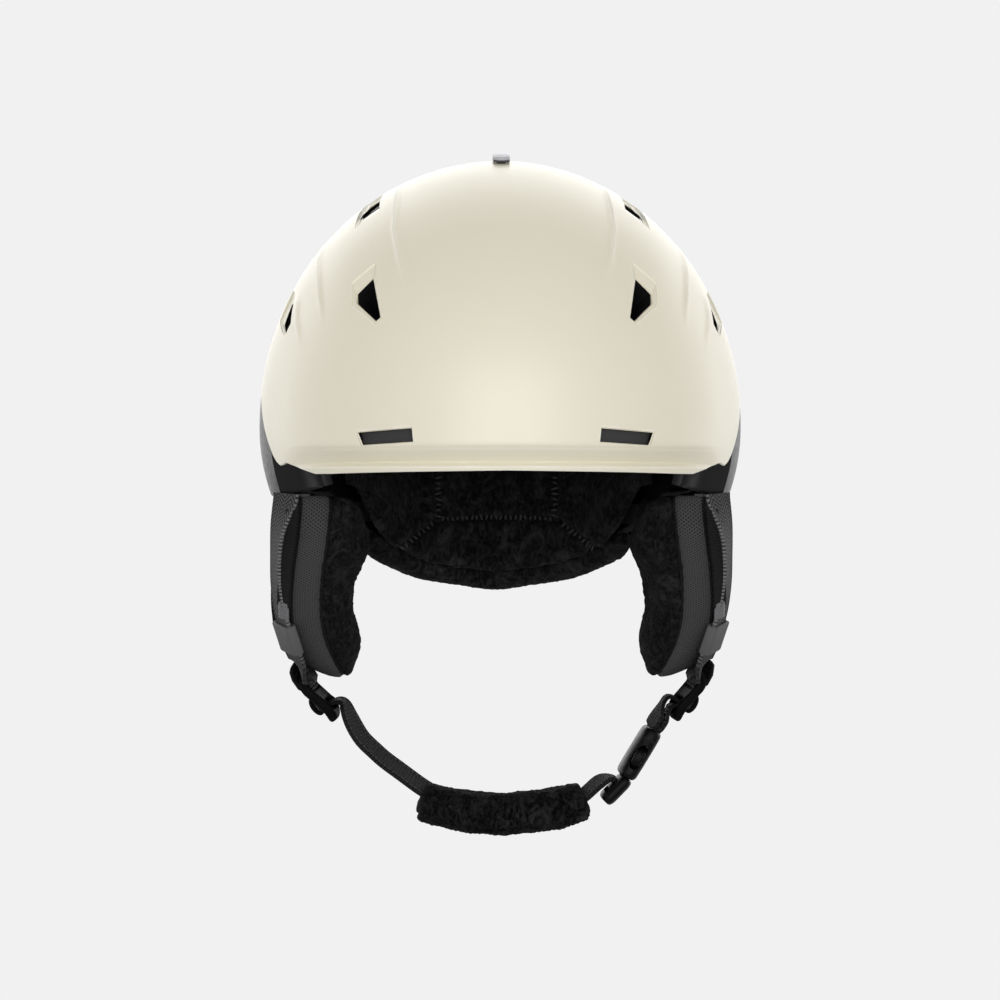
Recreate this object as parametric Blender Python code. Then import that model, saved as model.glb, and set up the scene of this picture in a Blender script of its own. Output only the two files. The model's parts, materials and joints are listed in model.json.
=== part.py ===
"""Ski helmet: hard upper shell over a lower shell and a moulded foam liner, with
hinged ear pads, webbing, a buckled chin sling, a crown vent slider, a nape fit
system and a rear goggle clip.

The wearer faces -Y and +Z is up, so the wearer's left is +X.  Dimensions are
millimetres from the helmet datum, which lies level with the bottom edge of the
lower shell at the ears, on the vertical line through the crown.  Everything
hangs from one empty that lowers the datum so that the underside of the crown
pad, where the wearer's head rests, is the origin.  Angles are in degrees.
"""
import bpy
import bmesh
import math
import numpy as np
from mathutils import Vector

# ---------------------------------------------------------------- driving dimensions
SHELL_HALF_WIDTH = 114.0
SHELL_FRONT = 128.0
SHELL_REAR = 148.0
SHELL_RISE = 126.0
CENTRE_Z = 34.0            # height of the widest line
SIDE_DROP = 103.0          # vertical semi-axis below the widest line, at the sides
REAR_DROP = 150.0          # the same at the nape
SHELL_THICKNESS = 2.0
# Offsets from the outer surface of the helmet
LOWER_TUCKED = -3.1        # lower shell, outer face under the upper shell
LOWER_FLUSH = -0.3         # lower shell, outer face below the rim
LOWER_INNER = -4.9
FOAM_UNDER_UPPER = -3.0
FOAM_UNDER_LOWER = -5.9
CAVITY_HALF_WIDTH = 88.0
CAVITY_FRONT = 102.0
CAVITY_REAR = 121.0
CAVITY_RISE = 102.0
CAVITY_DROP = 160.0
CROWN_Z = 130.0            # underside of the crown pad
COLUMNS = 48               # points round each full ring

WEB_WIDTH, WEB_THICKNESS = 15.0, 1.4

DEGREE = math.pi / 180.0
X_AXIS, Y_AXIS, Z_AXIS = np.eye(3)
EGG_CENTRE = np.array([0.0, 0.0, CENTRE_Z])
SIDES = ((-1, "right"), (1, "left"))

# ---------------------------------------------------------------- scene
for old in list(bpy.data.objects):
    bpy.data.objects.remove(old, do_unlink=True)

datum = bpy.data.objects.new("helmet_datum", None)
bpy.context.scene.collection.objects.link(datum)
datum.location = (0.0, 0.0, -CROWN_Z / 1000.0)


def material(name, rgb, roughness, metallic=0.0):
    mat = bpy.data.materials.new(name)
    mat.use_nodes = True
    inputs = mat.node_tree.nodes["Principled BSDF"].inputs
    inputs["Base Color"].default_value = (*rgb, 1.0)
    inputs["Roughness"].default_value = roughness
    inputs["Metallic"].default_value = metallic
    mat.diffuse_color = (*rgb, 1.0)
    return mat


CREAM = material("shell_cream", rgb=(0.76, 0.71, 0.55), roughness=0.35)
BLACK_SHELL = material("shell_black", rgb=(0.022, 0.022, 0.024), roughness=0.4)
FOAM = material("foam_grey", rgb=(0.10, 0.10, 0.11), roughness=0.9)
PLUSH = material("plush_black", rgb=(0.012, 0.012, 0.013), roughness=1.0)
TWILL = material("twill_black", rgb=(0.02, 0.019, 0.02), roughness=0.85)
MESH = material("mesh_fabric", rgb=(0.035, 0.036, 0.037), roughness=0.8)
WEB = material("webbing_black", rgb=(0.017, 0.016, 0.017), roughness=0.8)
NYLON = material("nylon_black", rgb=(0.01, 0.01, 0.01), roughness=0.35)
GREY = material("keeper_grey", rgb=(0.10, 0.10, 0.10), roughness=0.5)
KNOB = material("slider_grey", rgb=(0.36, 0.36, 0.38), roughness=0.4)
STEEL = material("screw_steel", rgb=(0.55, 0.55, 0.55), roughness=0.3, metallic=1.0)


def piece(name, shape, mat, pivot=(0.0, 0.0, 0.0)):
    """An object from a shape (points, faces) in datum millimetres, its origin on the pivot."""
    origin = Vector(pivot)
    points, faces = shape
    bm = bmesh.new()
    verts = [bm.verts.new((Vector(p) - origin) / 1000.0) for p in points]
    for face in faces:
        bm.faces.new([verts[i] for i in face])
    bmesh.ops.recalc_face_normals(bm, faces=bm.faces)
    mesh = bpy.data.meshes.new(name)
    bm.to_mesh(mesh)
    bm.free()
    ob = bpy.data.objects.new(name, mesh)
    bpy.context.scene.collection.objects.link(ob)
    ob.parent = datum
    ob.location = origin / 1000.0
    if mat:
        mesh.materials.append(mat)
    mesh.shade_smooth()
    mesh.set_sharp_from_angle(angle=35.0 * DEGREE)
    return ob


def helper(name, shape):
    ob = piece(name, shape, None)
    ob.hide_render = True
    ob.display_type = "WIRE"
    return ob


def boolean(ob, tool, operation="DIFFERENCE"):
    mod = ob.modifiers.new(tool.name, "BOOLEAN")
    mod.operation = operation
    mod.object = tool
    mod.solver = "EXACT"


def cut(ob, name, shape):
    boolean(ob, helper("cut_" + name, shape))


def add(ob, name, shape):
    boolean(ob, helper("add_" + name, shape), "UNION")


def bevel(ob, width, segments=1, angle=40.0):
    mod = ob.modifiers.new("edge", "BEVEL")
    mod.width = width / 1000.0
    mod.segments = segments
    mod.limit_method = "ANGLE"
    mod.angle_limit = angle * DEGREE


# ---------------------------------------------------------------- shapes
def unit(vector):
    vector = np.asarray(vector, float)
    return vector / np.linalg.norm(vector)


def between(start, end, fraction):
    return start + (end - start) * fraction


def full_turn(count):
    """Evenly spaced angles round a circle, in radians."""
    return np.linspace(0, 2 * math.pi, count + 1)[:-1]


def in_frame(frame, first, second, third):
    """The point at three distances along a frame (origin and three directions)."""
    origin, u_dir, v_dir, n_dir = (np.asarray(part, float) for part in frame)
    return origin + u_dir * first + v_dir * second + n_dir * third


def block(frame, firsts, seconds, thirds):
    """A box in a frame, from its two limits along each direction."""
    points = [in_frame(frame, u, v, n) for u in firsts for v in seconds for n in thirds]
    return points, [(0, 1, 3, 2), (4, 6, 7, 5), (0, 4, 5, 1),
                    (2, 3, 7, 6), (0, 2, 6, 4), (1, 5, 7, 3)]


def box(xs, ys, zs):
    return block((np.zeros(3), X_AXIS, Y_AXIS, Z_AXIS), xs, ys, zs)


def ring_walls(ring_count, size):
    return [(j * size + i, j * size + (i + 1) % size,
             (j + 1) * size + (i + 1) % size, (j + 1) * size + i)
            for j in range(ring_count - 1) for i in range(size)]


def flat_loft(rings):
    """Closed loops joined one to the next, with one face across each end."""
    size, total = len(rings[0]), len(rings) * len(rings[0])
    caps = [tuple(range(size)), tuple(range(total - 1, total - size - 1, -1))]
    return [p for ring in rings for p in ring], caps + ring_walls(len(rings), size)


def loft(rings):
    """Closed loops joined one to the next, each end closed by a fan of triangles."""
    size = len(rings[0])
    points = [p for ring in rings for p in ring]
    faces = ring_walls(len(rings), size)
    for base in (0, (len(rings) - 1) * size):
        centre = len(points)
        points.append(sum(np.asarray(points[base + i]) for i in range(size)) / size)
        faces += [(base + i, base + (i + 1) % size, centre) for i in range(size)]
    return points, faces


def dome(outer, inner):
    """A cap with two faces, each given as rings from the pole down, joined at the rim."""
    return loft(outer + inner[::-1])


def prism(loop, start, end):
    """A loop of points swept between two displacements."""
    return flat_loft([[np.asarray(p, float) + shift for p in loop] for shift in (start, end)])


def prism_y(profile, ys):
    """A profile of (x, z) points swept along Y."""
    return prism([(x, 0.0, z) for x, z in profile], Y_AXIS * ys[0], Y_AXIS * ys[1])


def prism_z(corners, side, zs):
    """Corners (x on the left side, y) swept along Z."""
    return prism([(side * x, y, 0.0) for x, y in corners], Z_AXIS * zs[0], Z_AXIS * zs[1])


def ellipse(centre, first, second, radius, second_radius, count):
    centre, first, second = (np.asarray(part, float) for part in (centre, first, second))
    return [centre + first * radius * math.cos(q) + second * second_radius * math.sin(q)
            for q in full_turn(count)]


def rod(centre, axis, radius, start, end, count=20):
    axis = unit(axis)
    aside = (0.3, 0.1, 0.9) if abs(axis[2]) < 0.8 else (1.0, 0.0, 0.1)
    first = unit(np.cross(axis, aside))
    loop = ellipse(centre, first, np.cross(axis, first), radius, radius, count)
    return prism(loop, axis * start, axis * end)


def thick_patch(outer, inner):
    """A curved plate between two equal grids of points."""
    rows, cols = len(outer), len(outer[0])
    points = [p for row in outer for p in row] + [p for row in inner for p in row]
    back = rows * cols
    faces = []
    for j in range(rows - 1):
        for i in range(cols - 1):
            here = j * cols + i
            quad = (here, here + 1, here + cols + 1, here + cols)
            faces += [quad, tuple(back + k for k in reversed(quad))]
    last_row = (rows - 1) * cols
    for i in range(cols - 1):
        faces.append((i + 1, i, back + i, back + i + 1))
        k = last_row + i
        faces.append((k, k + 1, back + k + 1, back + k))
    for j in range(rows - 1):
        here, below = j * cols, (j + 1) * cols
        faces.append((here, below, back + below, back + here))
        here, below = here + cols - 1, below + cols - 1
        faces.append((below, here, back + here, back + below))
    return points, faces


def ribbon(path, across, thickness=WEB_THICKNESS):
    """Flat webbing along a path; across is its width direction, or one per station."""
    path = [np.asarray(p, float) for p in path]
    half_width, half_thick = WEB_WIDTH / 2, thickness / 2
    rings = []
    for i, point in enumerate(path):
        along = unit(path[min(i + 1, len(path) - 1)] - path[max(i - 1, 0)])
        wide = np.asarray(across[i] if isinstance(across, list) else across, float)
        wide = unit(wide - along * np.dot(wide, along))
        normal = np.cross(along, wide)
        rings.append([point + wide * w * half_width + normal * n * half_thick
                      for w, n in ((1, 1), (-1, 1), (-1, -1), (1, -1))])
    return flat_loft(rings)


def smooth_path(stations, steps):
    """Points along a Catmull-Rom curve through the given stations."""
    knots = [np.asarray(p, float) for p in stations]
    knots = [2 * knots[0] - knots[1]] + knots + [2 * knots[-1] - knots[-2]]
    path = []
    for i in range(1, len(knots) - 2):
        before, start, end, after = knots[i - 1:i + 3]
        for k in range(steps):
            t = k / steps
            path.append(0.5 * (2 * start + (end - before) * t
                               + (2 * before - 5 * start + 4 * end - after) * t * t
                               + (3 * start - before - 3 * end + after) * t ** 3))
    path.append(knots[-2])
    return path


# ---------------------------------------------------------------- the two egg-shaped surfaces
# "around" is degrees round from the front towards the left, "down" degrees from the crown.
def egg_normal(local, axes):
    """Outward normal at a point measured from the egg's centre."""
    return unit(np.asarray(local, float) / np.square(axes))


def egg_point(axes, around, down, offset):
    half_width, length, height = axes
    sin_down = math.sin(down * DEGREE)
    local = np.array([half_width * sin_down * math.sin(around * DEGREE),
                      -length * sin_down * math.cos(around * DEGREE),
                      height * math.cos(down * DEGREE)])
    return local + egg_normal(local, axes) * offset + EGG_CENTRE


def down_to(z, rise, drop):
    """The down angle at which an egg reaches a height."""
    height = rise if z >= CENTRE_Z else drop
    return math.acos(max(-1.0, min(1.0, (z - CENTRE_Z) / height))) / DEGREE


def shell_drop(around):
    rearward = max(0.0, -math.cos(around * DEGREE))
    return between(SIDE_DROP, REAR_DROP, rearward ** 1.5)


def shell_point(around, down, offset=0.0):
    """A point on the outside of the helmet."""
    length = SHELL_FRONT if math.cos(around * DEGREE) > 0 else SHELL_REAR
    height = SHELL_RISE if math.cos(down * DEGREE) > 0 else shell_drop(around)
    return egg_point((SHELL_HALF_WIDTH, length, height), around, down, offset)


def shell_down(around, z):
    return down_to(z, SHELL_RISE, shell_drop(around))


def cavity_point(around, down, offset=0.0):
    """A point on the inside of the foam."""
    length = CAVITY_FRONT if math.cos(around * DEGREE) > 0 else CAVITY_REAR
    height = CAVITY_RISE if math.cos(down * DEGREE) > 0 else CAVITY_DROP
    return egg_point((CAVITY_HALF_WIDTH, length, height), around, down, offset)


def cavity_down(z):
    return down_to(z, CAVITY_RISE, CAVITY_DROP)


def shell_front_point(x, z):
    """A point on the front of the helmet's outside at a given x and z."""
    height = SHELL_RISE if z >= CENTRE_Z else SIDE_DROP
    left = 1.0 - (x / SHELL_HALF_WIDTH) ** 2 - ((z - CENTRE_Z) / height) ** 2
    return np.array([x, -SHELL_FRONT * math.sqrt(max(left, 0.0)), z])


def shell_normal(point):
    length = SHELL_FRONT if point[1] < 0 else SHELL_REAR
    height = SHELL_RISE if point[2] >= CENTRE_Z else SIDE_DROP
    return egg_normal(point - EGG_CENTRE, (SHELL_HALF_WIDTH, length, height))


# Edge heights: (degrees away from the front on either side, z)
UPPER_EDGE = (   # brim at the front, arch over the ears, low at the rear
    (0, 13), (30, 12), (45, 11.5), (51, 12), (62, 17), (68, 19), (70.5, 24), (75.5, 35),
    (82, 49), (90, 57), (110, 60), (130, 52), (150, 37), (170, 25), (180, 23))
LOWER_EDGE = ((50, 1), (110, 1), (122, -8), (130, -18), (150, -32), (180, -40))
FOAM_EDGE = ((0, 17), (45, 17), (60, 8), (90, 5), (110, 4), (122, -6), (130, -15),
             (150, -26), (180, -32))


def front_angle(around):
    around = around % 360.0
    return min(around, 360.0 - around)


def edge_z(table, around):
    angles, heights = zip(*table)
    return float(np.interp(front_angle(around), angles, heights))


AROUNDS = [k * 360.0 / COLUMNS for k in range(COLUMNS)]


def shell_rings(fractions, rise, offset):
    """Full rings at fractions of the way from the crown to a rise above the upper edge."""
    return [[shell_point(a, f * shell_down(a, edge_z(UPPER_EDGE, a) + rise), offset)
             for a in AROUNDS] for f in fractions]


# ---------------------------------------------------------------- upper shell
UPPER_ROWS = (0.03, 0.12, 0.21, 0.3, 0.4, 0.5, 0.59, 0.68, 0.77, 0.85, 0.93, 1.0)
outer_shell = piece("outer_shell", dome(shell_rings(UPPER_ROWS, 0.0, 0.0),
                                        shell_rings(UPPER_ROWS, 0.0, -SHELL_THICKNESS)), CREAM)

# ---------------------------------------------------------------- foam liner
FOAM_STEP_RISE = 14.0      # the foam steps inwards this far above the upper shell's rim
FOAM_BRIM_ANGLE = 40.0     # within this of the front there is no step


def foam_skirt_ring(fraction):
    ring = []
    for a in AROUNDS:
        start = shell_down(a, edge_z(UPPER_EDGE, a) + FOAM_STEP_RISE)
        down = between(start, shell_down(a, edge_z(FOAM_EDGE, a)), fraction)
        stepped = front_angle(a) > FOAM_BRIM_ANGLE
        ring.append(shell_point(a, down, FOAM_UNDER_LOWER if stepped else FOAM_UNDER_UPPER))
    return ring


foam_outer = shell_rings((0.03, 0.16, 0.29, 0.42, 0.55, 0.69, 0.85, 1.0),
                         FOAM_STEP_RISE, FOAM_UNDER_UPPER)
foam_outer += [foam_skirt_ring(f) for f in (0.03, 0.5, 1.0)]
foam_inner = [[cavity_point(a, f * cavity_down(edge_z(FOAM_EDGE, a))) for a in AROUNDS]
              for f in (0.03, 0.17, 0.31, 0.45, 0.59, 0.73, 0.87, 1.0)]
eps_liner = piece("eps_liner", dome(foam_outer, foam_inner), FOAM)

# ---------------------------------------------------------------- lower shell
LOWER_AROUNDS = [52.5 + 7.5 * k for k in range(35)]
TUCK_RISES = (11.0, 0.22)              # rows under the upper shell, above its rim
FLUSH_FRACTIONS = (0.0, 0.3, 0.65, 1.0)  # rows from just below the rim to the bottom edge
RIM_GAP = 1.1

lower_downs = [[shell_down(a, edge_z(UPPER_EDGE, a) + rise) for a in LOWER_AROUNDS]
               for rise in TUCK_RISES]
lower_downs += [[between(shell_down(a, edge_z(UPPER_EDGE, a) - RIM_GAP),
                         shell_down(a, edge_z(LOWER_EDGE, a)), f) for a in LOWER_AROUNDS]
                for f in FLUSH_FRACTIONS]


def lower_grid(offsets):
    return [[shell_point(a, down, offset) for a, down in zip(LOWER_AROUNDS, downs)]
            for downs, offset in zip(lower_downs, offsets)]


lower_shell = piece("lower_shell", thick_patch(
    lower_grid([LOWER_TUCKED] * len(TUCK_RISES) + [LOWER_FLUSH] * len(FLUSH_FRACTIONS)),
    lower_grid([LOWER_INNER] * len(lower_downs))), BLACK_SHELL)

# ---------------------------------------------------------------- vents
# Name, depth of the cut below the surface, corners (x on the left side, z)
FACE_VENTS = (
    ("front_vent", 45.0, ((57.6, 99.4), (64.4, 93.0), (64.1, 87.8), (55.0, 78.7), (52.7, 80.4))),
    ("brow_slot", 14.0, ((39.2, 31.0), (63.0, 29.5), (60.3, 24.2), (37.9, 25.7))),
    ("side_vent", 42.0, ((97.3, 93.0), (98.6, 88.0), (102.6, 78.5), (100.4, 77.5), (97.0, 85.0))))
VENT_CLEARANCE = 9.0       # the cutters start this far outside the surface
CROWN_VENT = ((54.5, -22.0), (60.5, -23.0), (62.5, -34.0), (56.0, -35.0))     # x, y
CROWN_VENT_Z = (154.0, 90.0)
BROW_INSERT = ((39.9, 30.3), (62.2, 28.8), (60.0, 24.9), (38.6, 26.4))        # x, z
BROW_INSERT_DEPTHS = (1.4, 8.0)


def face_prism(corners, side, start, end):
    """Corners (x on the left side, z) on the shell's front, swept along its normal."""
    loop = [shell_front_point(side * x, z) for x, z in corners]
    normal = shell_normal(sum(loop) / len(loop))
    return prism(loop, normal * start, normal * end)


for side, tag in SIDES:
    for vent_name, depth, corners in FACE_VENTS:
        tool = helper("cut_%s_%s" % (vent_name, tag),
                      face_prism(corners, side, VENT_CLEARANCE, -depth))
        boolean(outer_shell, tool)
        boolean(eps_liner, tool)
    tool = helper("cut_crown_vent_" + tag, prism_z(CROWN_VENT, side, CROWN_VENT_Z))
    boolean(outer_shell, tool)
    boolean(eps_liner, tool)
    near, far = BROW_INSERT_DEPTHS
    piece("brow_vent_insert_" + tag, face_prism(BROW_INSERT, side, -near, -far), GREY)

# ---------------------------------------------------------------- crown vent slider
# Parts are laid out at the crown, then turned forward about the shell's cross axis.
SLIDER_TURN = 10.0
SHELL_TOP = CENTRE_Z + SHELL_RISE
KNOB_BASE = SHELL_TOP + 1.0
KNOB_OUTLINE = ((-4.0, -10.0), (-2.6, -11.4), (2.6, -11.4), (4.0, -10.0),     # x, y
                (4.0, 10.0), (2.6, 11.4), (-2.6, 11.4), (-4.0, 10.0))
KNOB_LEVELS = ((0.96, 0.0), (1.0, 0.5), (1.0, 2.6), (0.86, 3.4))  # outline scale, rise
SLIDER_BORE_RADIUS = 1.3
SHUTTER_WINDOW = ((53.5, -21.0), (61.5, -22.0), (63.5, -35.0), (55.0, -36.0))  # x, y
SHUTTER_WINDOW_Z = (160.0, 110.0)
SHUTTER_OFFSETS = (-3.4, -4.8)
POCKET_TOP, POCKET_FLOOR = 5.0, -6.2   # offsets from the shell's outside
POCKET_HALF_CHANNEL, POCKET_CHANNEL_DEPTH = 8, 3.0


def forward(shape):
    """Turn a shape from the crown to the slider's rest position."""
    cos, sin = math.cos(SLIDER_TURN * DEGREE), math.sin(SLIDER_TURN * DEGREE)
    locals_ = [np.asarray(p, float) - EGG_CENTRE for p in shape[0]]
    return [np.array([x, y * cos - z * sin, y * sin + z * cos]) + EGG_CENTRE
            for x, y, z in locals_], shape[1]


def slider_rod(radius, bottom, top):
    return forward(rod((0, 0, 0), Z_AXIS, radius, SHELL_TOP + bottom, SHELL_TOP + top, 12))


def bow_point(x, ahead, offset):
    """A point off the shell at a given x and angle forward of the crown."""
    shrink = math.sqrt(1.0 - (x / SHELL_HALF_WIDTH) ** 2)
    local = np.array([x, -SHELL_FRONT * shrink * math.sin(ahead * DEGREE),
                      SHELL_RISE * shrink * math.cos(ahead * DEGREE)])
    normal = egg_normal(local, (SHELL_HALF_WIDTH, SHELL_FRONT, SHELL_RISE))
    return local + normal * offset + EGG_CENTRE


def bow_plate(xs, aheads, offset_functions):
    """A plate across the crown between two offsets, each a function of x."""
    return thick_patch(*[[[bow_point(x, ahead, offset(x)) for x in xs] for ahead in aheads]
                         for offset in offset_functions])


def pocket_floor(x):
    return POCKET_FLOOR - (POCKET_CHANNEL_DEPTH if abs(x) < POCKET_HALF_CHANNEL else 0.0)


cut(outer_shell, "slider_slot", forward(
    box(xs=(-2.9, 2.9), ys=(-8.4, 20.4), zs=(SHELL_TOP - 7.0, SHELL_TOP + 6.0))))

knob_rings = [[(x * scale, y * scale, KNOB_BASE + rise) for x, y in KNOB_OUTLINE]
              for scale, rise in KNOB_LEVELS]
knob = piece("vent_slider_knob", forward(loft([[np.array(p) for p in ring]
                                               for ring in knob_rings])), KNOB, EGG_CENTRE)
add(knob, "slider_stem", forward(
    box(xs=(-2.1, 2.1), ys=(-6.5, 6.5), zs=(SHELL_TOP - 3.0, KNOB_BASE + 0.3))))
cut(knob, "slider_bore", slider_rod(SLIDER_BORE_RADIUS, -9.0, 1.4))

shutter = piece("vent_shutter", bow_plate(
    np.linspace(-68, 68, 15), (7.0, 11.0, 15.0, 19.0, 23.0),
    [lambda x, offset=offset: offset for offset in SHUTTER_OFFSETS]), NYLON, EGG_CENTRE)
for side, _ in SIDES:
    cut(shutter, "shutter_window_%d" % (side + 2),
        prism_z(SHUTTER_WINDOW, side, SHUTTER_WINDOW_Z))
cut(shutter, "shutter_bore", slider_rod(SLIDER_BORE_RADIUS, -12.0, 0.0))
cut(eps_liner, "shutter_pocket", bow_plate(
    np.linspace(-72, 72, 13), (-3.0, 5.0, 13.0, 20.0, 27.0),
    (lambda x: POCKET_TOP, pocket_floor)))

screw = piece("vent_slider_screw", slider_rod(1.0, -6.6, 0.9), STEEL, EGG_CENTRE)
add(screw, "slider_screw_head", slider_rod(2.4, -6.9, -5.3))

# ---------------------------------------------------------------- comfort pads
CROWN_PAD_X, CROWN_PAD_Y = 24.0, 27.0                  # half sizes
CROWN_PAD_LEVELS = ((1.0, 0.6), (0.92, 0.0), (0.5, 0.0))  # outline scale, drop below the roof
ROOF_GAP = 1.6
PAD_OFFSETS = (-1.5, -8.5)             # outer and inner faces, from the cavity wall
LINER_OFFSETS = (-10.8, -17.0)
LINER_DROP = 9.5                       # how far the rear liner hangs below the foam
PAD_RIM = 0.55                         # share of the thickness left at a pad's rim
ROLL_DROP = 7.6                        # neck roll's centre below the foam
ROLL_ARC = (128.0, 232.0)


def roof_z(x, y):
    length = CAVITY_FRONT if y < 0 else CAVITY_REAR
    rise = math.sqrt(1 - (x / CAVITY_HALF_WIDTH) ** 2 - (y / length) ** 2)
    return CENTRE_Z + CAVITY_RISE * rise - ROOF_GAP


def crown_pad():
    outline = ellipse((0, 0, 0), X_AXIS, Y_AXIS, CROWN_PAD_X, CROWN_PAD_Y, 24)
    rings = [[np.array([x, y, CROWN_Z]) for x, y, _ in outline]]
    for scale, drop in CROWN_PAD_LEVELS:
        rings.append([np.array([x * scale, y * scale, roof_z(x * scale, y * scale) - drop])
                      for x, y, _ in outline])
    piece("crown_pad", loft(rings), PLUSH)


def pad(name, arounds, rows, top, bottom, offsets=PAD_OFFSETS):
    """A soft pad on the cavity wall, thinner at its rim; bottom is a function of angle."""
    wall, face = offsets
    outer, inner = [], []
    for j in range(rows):
        downs = [cavity_down(between(top, bottom(a), j / (rows - 1.0))) for a in arounds]
        outer.append([cavity_point(a, down, wall) for a, down in zip(arounds, downs)])
        inner.append([])
        for k, (a, down) in enumerate(zip(arounds, downs)):
            rim = k in (0, len(arounds) - 1) or j in (0, rows - 1)
            inner[-1].append(cavity_point(a, down, between(wall, face, PAD_RIM if rim else 1.0)))
    piece(name, thick_patch(outer, inner), PLUSH)


def neck_roll():
    rings = []
    for around in np.linspace(*ROLL_ARC, 15):
        z = edge_z(FOAM_EDGE, around) - ROLL_DROP
        centre = cavity_point(around, cavity_down(z), -2.0)
        centre[2] = z
        outward = unit([centre[0] / CAVITY_HALF_WIDTH ** 2, centre[1] / CAVITY_REAR ** 2, 0.0])
        scale = 0.72 if around in ROLL_ARC else 1.0
        rings.append(ellipse(centre, outward, Z_AXIS, 7.2 * scale, 6.4 * scale, 10))
    piece("neck_roll", loft(rings), PLUSH)


crown_pad()
pad("front_pad", np.linspace(-38.0, 38.0, 11), 5, top=52.0, bottom=lambda a: 21.0)
pad("side_pad_left", np.linspace(62.0, 112.0, 8), 5, top=48.0, bottom=lambda a: 12.0)
pad("side_pad_right", np.linspace(-112.0, -62.0, 8), 5, top=48.0, bottom=lambda a: 12.0)
pad("rear_liner", np.linspace(116.0, 244.0, 21), 8, top=16.0,
    bottom=lambda a: edge_z(FOAM_EDGE, a) - LINER_DROP, offsets=LINER_OFFSETS)
neck_roll()

# ---------------------------------------------------------------- fit system at the nape
# A dial turns a pinion between two racks, one on the end of each fit band.
DIAL_Z = -12.0
DIAL_RADIUS = 15.0
DIAL_GROOVE_RADIUS = 14.2
DIAL_FLUTES = 24
GEAR_MODULE, GEAR_TEETH = 1.25, 10
PITCH_RADIUS = GEAR_MODULE * GEAR_TEETH / 2.0
PRESSURE_ANGLE = 20 * DEGREE
RACK_Y = (112.3, 114.7)
RACK_TIP, RACK_ROOT = 0.55 * GEAR_MODULE, -(GEAR_MODULE + 0.35)  # towards the pinion is +
RACK_BACK = 3.4            # rack thickness behind the roots
RACK_OUTER_X = -20.0
BAND_INNER = 1.6           # a band's near edge, above or below the dial's axis
BAND_CLIMB = 11.5          # how far the left band rises as it leaves the rack
BAND_HALF_THICKNESS = 0.8
AXLE = (0.0, sum(RACK_Y) / 2, DIAL_Z)


def dial_rod(radius, ys, count):
    return rod((0, 0, DIAL_Z), Y_AXIS, radius, *ys, count)


def gear_profile():
    """Pinion outline as (radius, angle) points."""
    base = PITCH_RADIUS * math.cos(PRESSURE_ANGLE)
    tip = PITCH_RADIUS + GEAR_MODULE
    root = PITCH_RADIUS - 1.25 * GEAR_MODULE

    def involute(radius):
        angle = math.acos(base / radius)
        return math.tan(angle) - angle

    half_tooth = math.pi / (2 * GEAR_TEETH) - 0.16 / PITCH_RADIUS
    radii = (base * 1.001, between(base, tip, 0.35), between(base, tip, 0.7), tip)
    flank = [(r, max(half_tooth + involute(PITCH_RADIUS) - involute(r), 0.02)) for r in radii]
    flank = [(root, flank[0][1])] + flank
    profile = []
    for k in range(GEAR_TEETH):
        middle = 2 * math.pi * k / GEAR_TEETH
        profile += [(r, middle - half) for r, half in flank]
        profile += [(r, middle + half) for r, half in reversed(flank)]
    return profile


def round_dial(polar):
    """(radius, angle) points as (x, z) about the dial's axis."""
    return [(r * math.sin(q), DIAL_Z + r * math.cos(q)) for r, q in polar]


def rack_profile():
    """(x, height) points; x runs from the outside (-) to the pinion (+)."""
    pitch = math.pi * GEAR_MODULE
    half = pitch / 4 - 0.08
    slope = math.tan(PRESSURE_ANGLE)
    profile = []
    for k in range(-5, 2):
        x = (k + 0.5) * pitch
        profile += [(x - half + RACK_ROOT * slope, RACK_ROOT),
                    (x - half + RACK_TIP * slope, RACK_TIP),
                    (x + half - RACK_TIP * slope, RACK_TIP),
                    (x + half + RACK_ROOT * slope, RACK_ROOT)]
    end = profile[-1][0] + 0.6
    return profile + [(end, RACK_ROOT), (end, RACK_ROOT - RACK_BACK),
                      (RACK_OUTER_X, RACK_ROOT - RACK_BACK), (RACK_OUTER_X, RACK_ROOT)]


def band_shape(side, up):
    """The band from the rack round the inside of the foam."""
    path = [(side * 17.0, 113.5), (side * 25.0, 113.5), (side * 34.0, 112.4)]
    joint = len(path)                  # these stations are narrow, to join the rack
    path += [tuple(cavity_point(side * a, 106.5, -4.6)[:2])
             for a in (149, 144, 138, 132, 126, 120, 117)]
    outer_edge = PITCH_RADIUS - RACK_ROOT + RACK_BACK
    rings = []
    for i, point in enumerate(path):
        along = unit(np.array(path[min(i + 1, len(path) - 1)]) - np.array(path[max(i - 1, 0)]))
        normal = np.array([-along[1], along[0]]) * BAND_HALF_THICKNESS
        inner_edge = PITCH_RADIUS - RACK_ROOT if i < joint else BAND_INNER
        climb = 0.0 if up > 0 else min(1.0, max(0.0, (i - 2) / 3.0)) * BAND_CLIMB
        low, high = sorted(DIAL_Z + up * edge + climb for edge in (outer_edge, inner_edge))
        rings.append([np.array([*(np.array(point) + normal * way), z])
                      for way, z in ((1, low), (-1, low), (-1, high), (1, high))])
    return loft(rings)


cut(eps_liner, "dial_bay", box(xs=(-22.6, 22.6), ys=(95.0, 150.0), zs=(-50.0, 9.0)))
cut(eps_liner, "band_relief", box(xs=(-41.0, 41.0), ys=(96.0, 116.6), zs=(-27.0, 3.0)))
cut(lower_shell, "dial_window", dial_rod(DIAL_RADIUS + 2.4, (110.0, 160.0), 32))

housing = piece("dial_housing",
                box(xs=(-21.0, 21.0), ys=(109.2, 119.0), zs=(-30.5, 7.0)), NYLON)
bevel(housing, 1.2)
cut(housing, "rack_channel", box(xs=(-30.0, 30.0), ys=(110.8, 115.3), zs=(-24.4, 0.4)))
cut(housing, "shaft_hole", dial_rod(3.7, (114.0, 130.0), 20))

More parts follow.
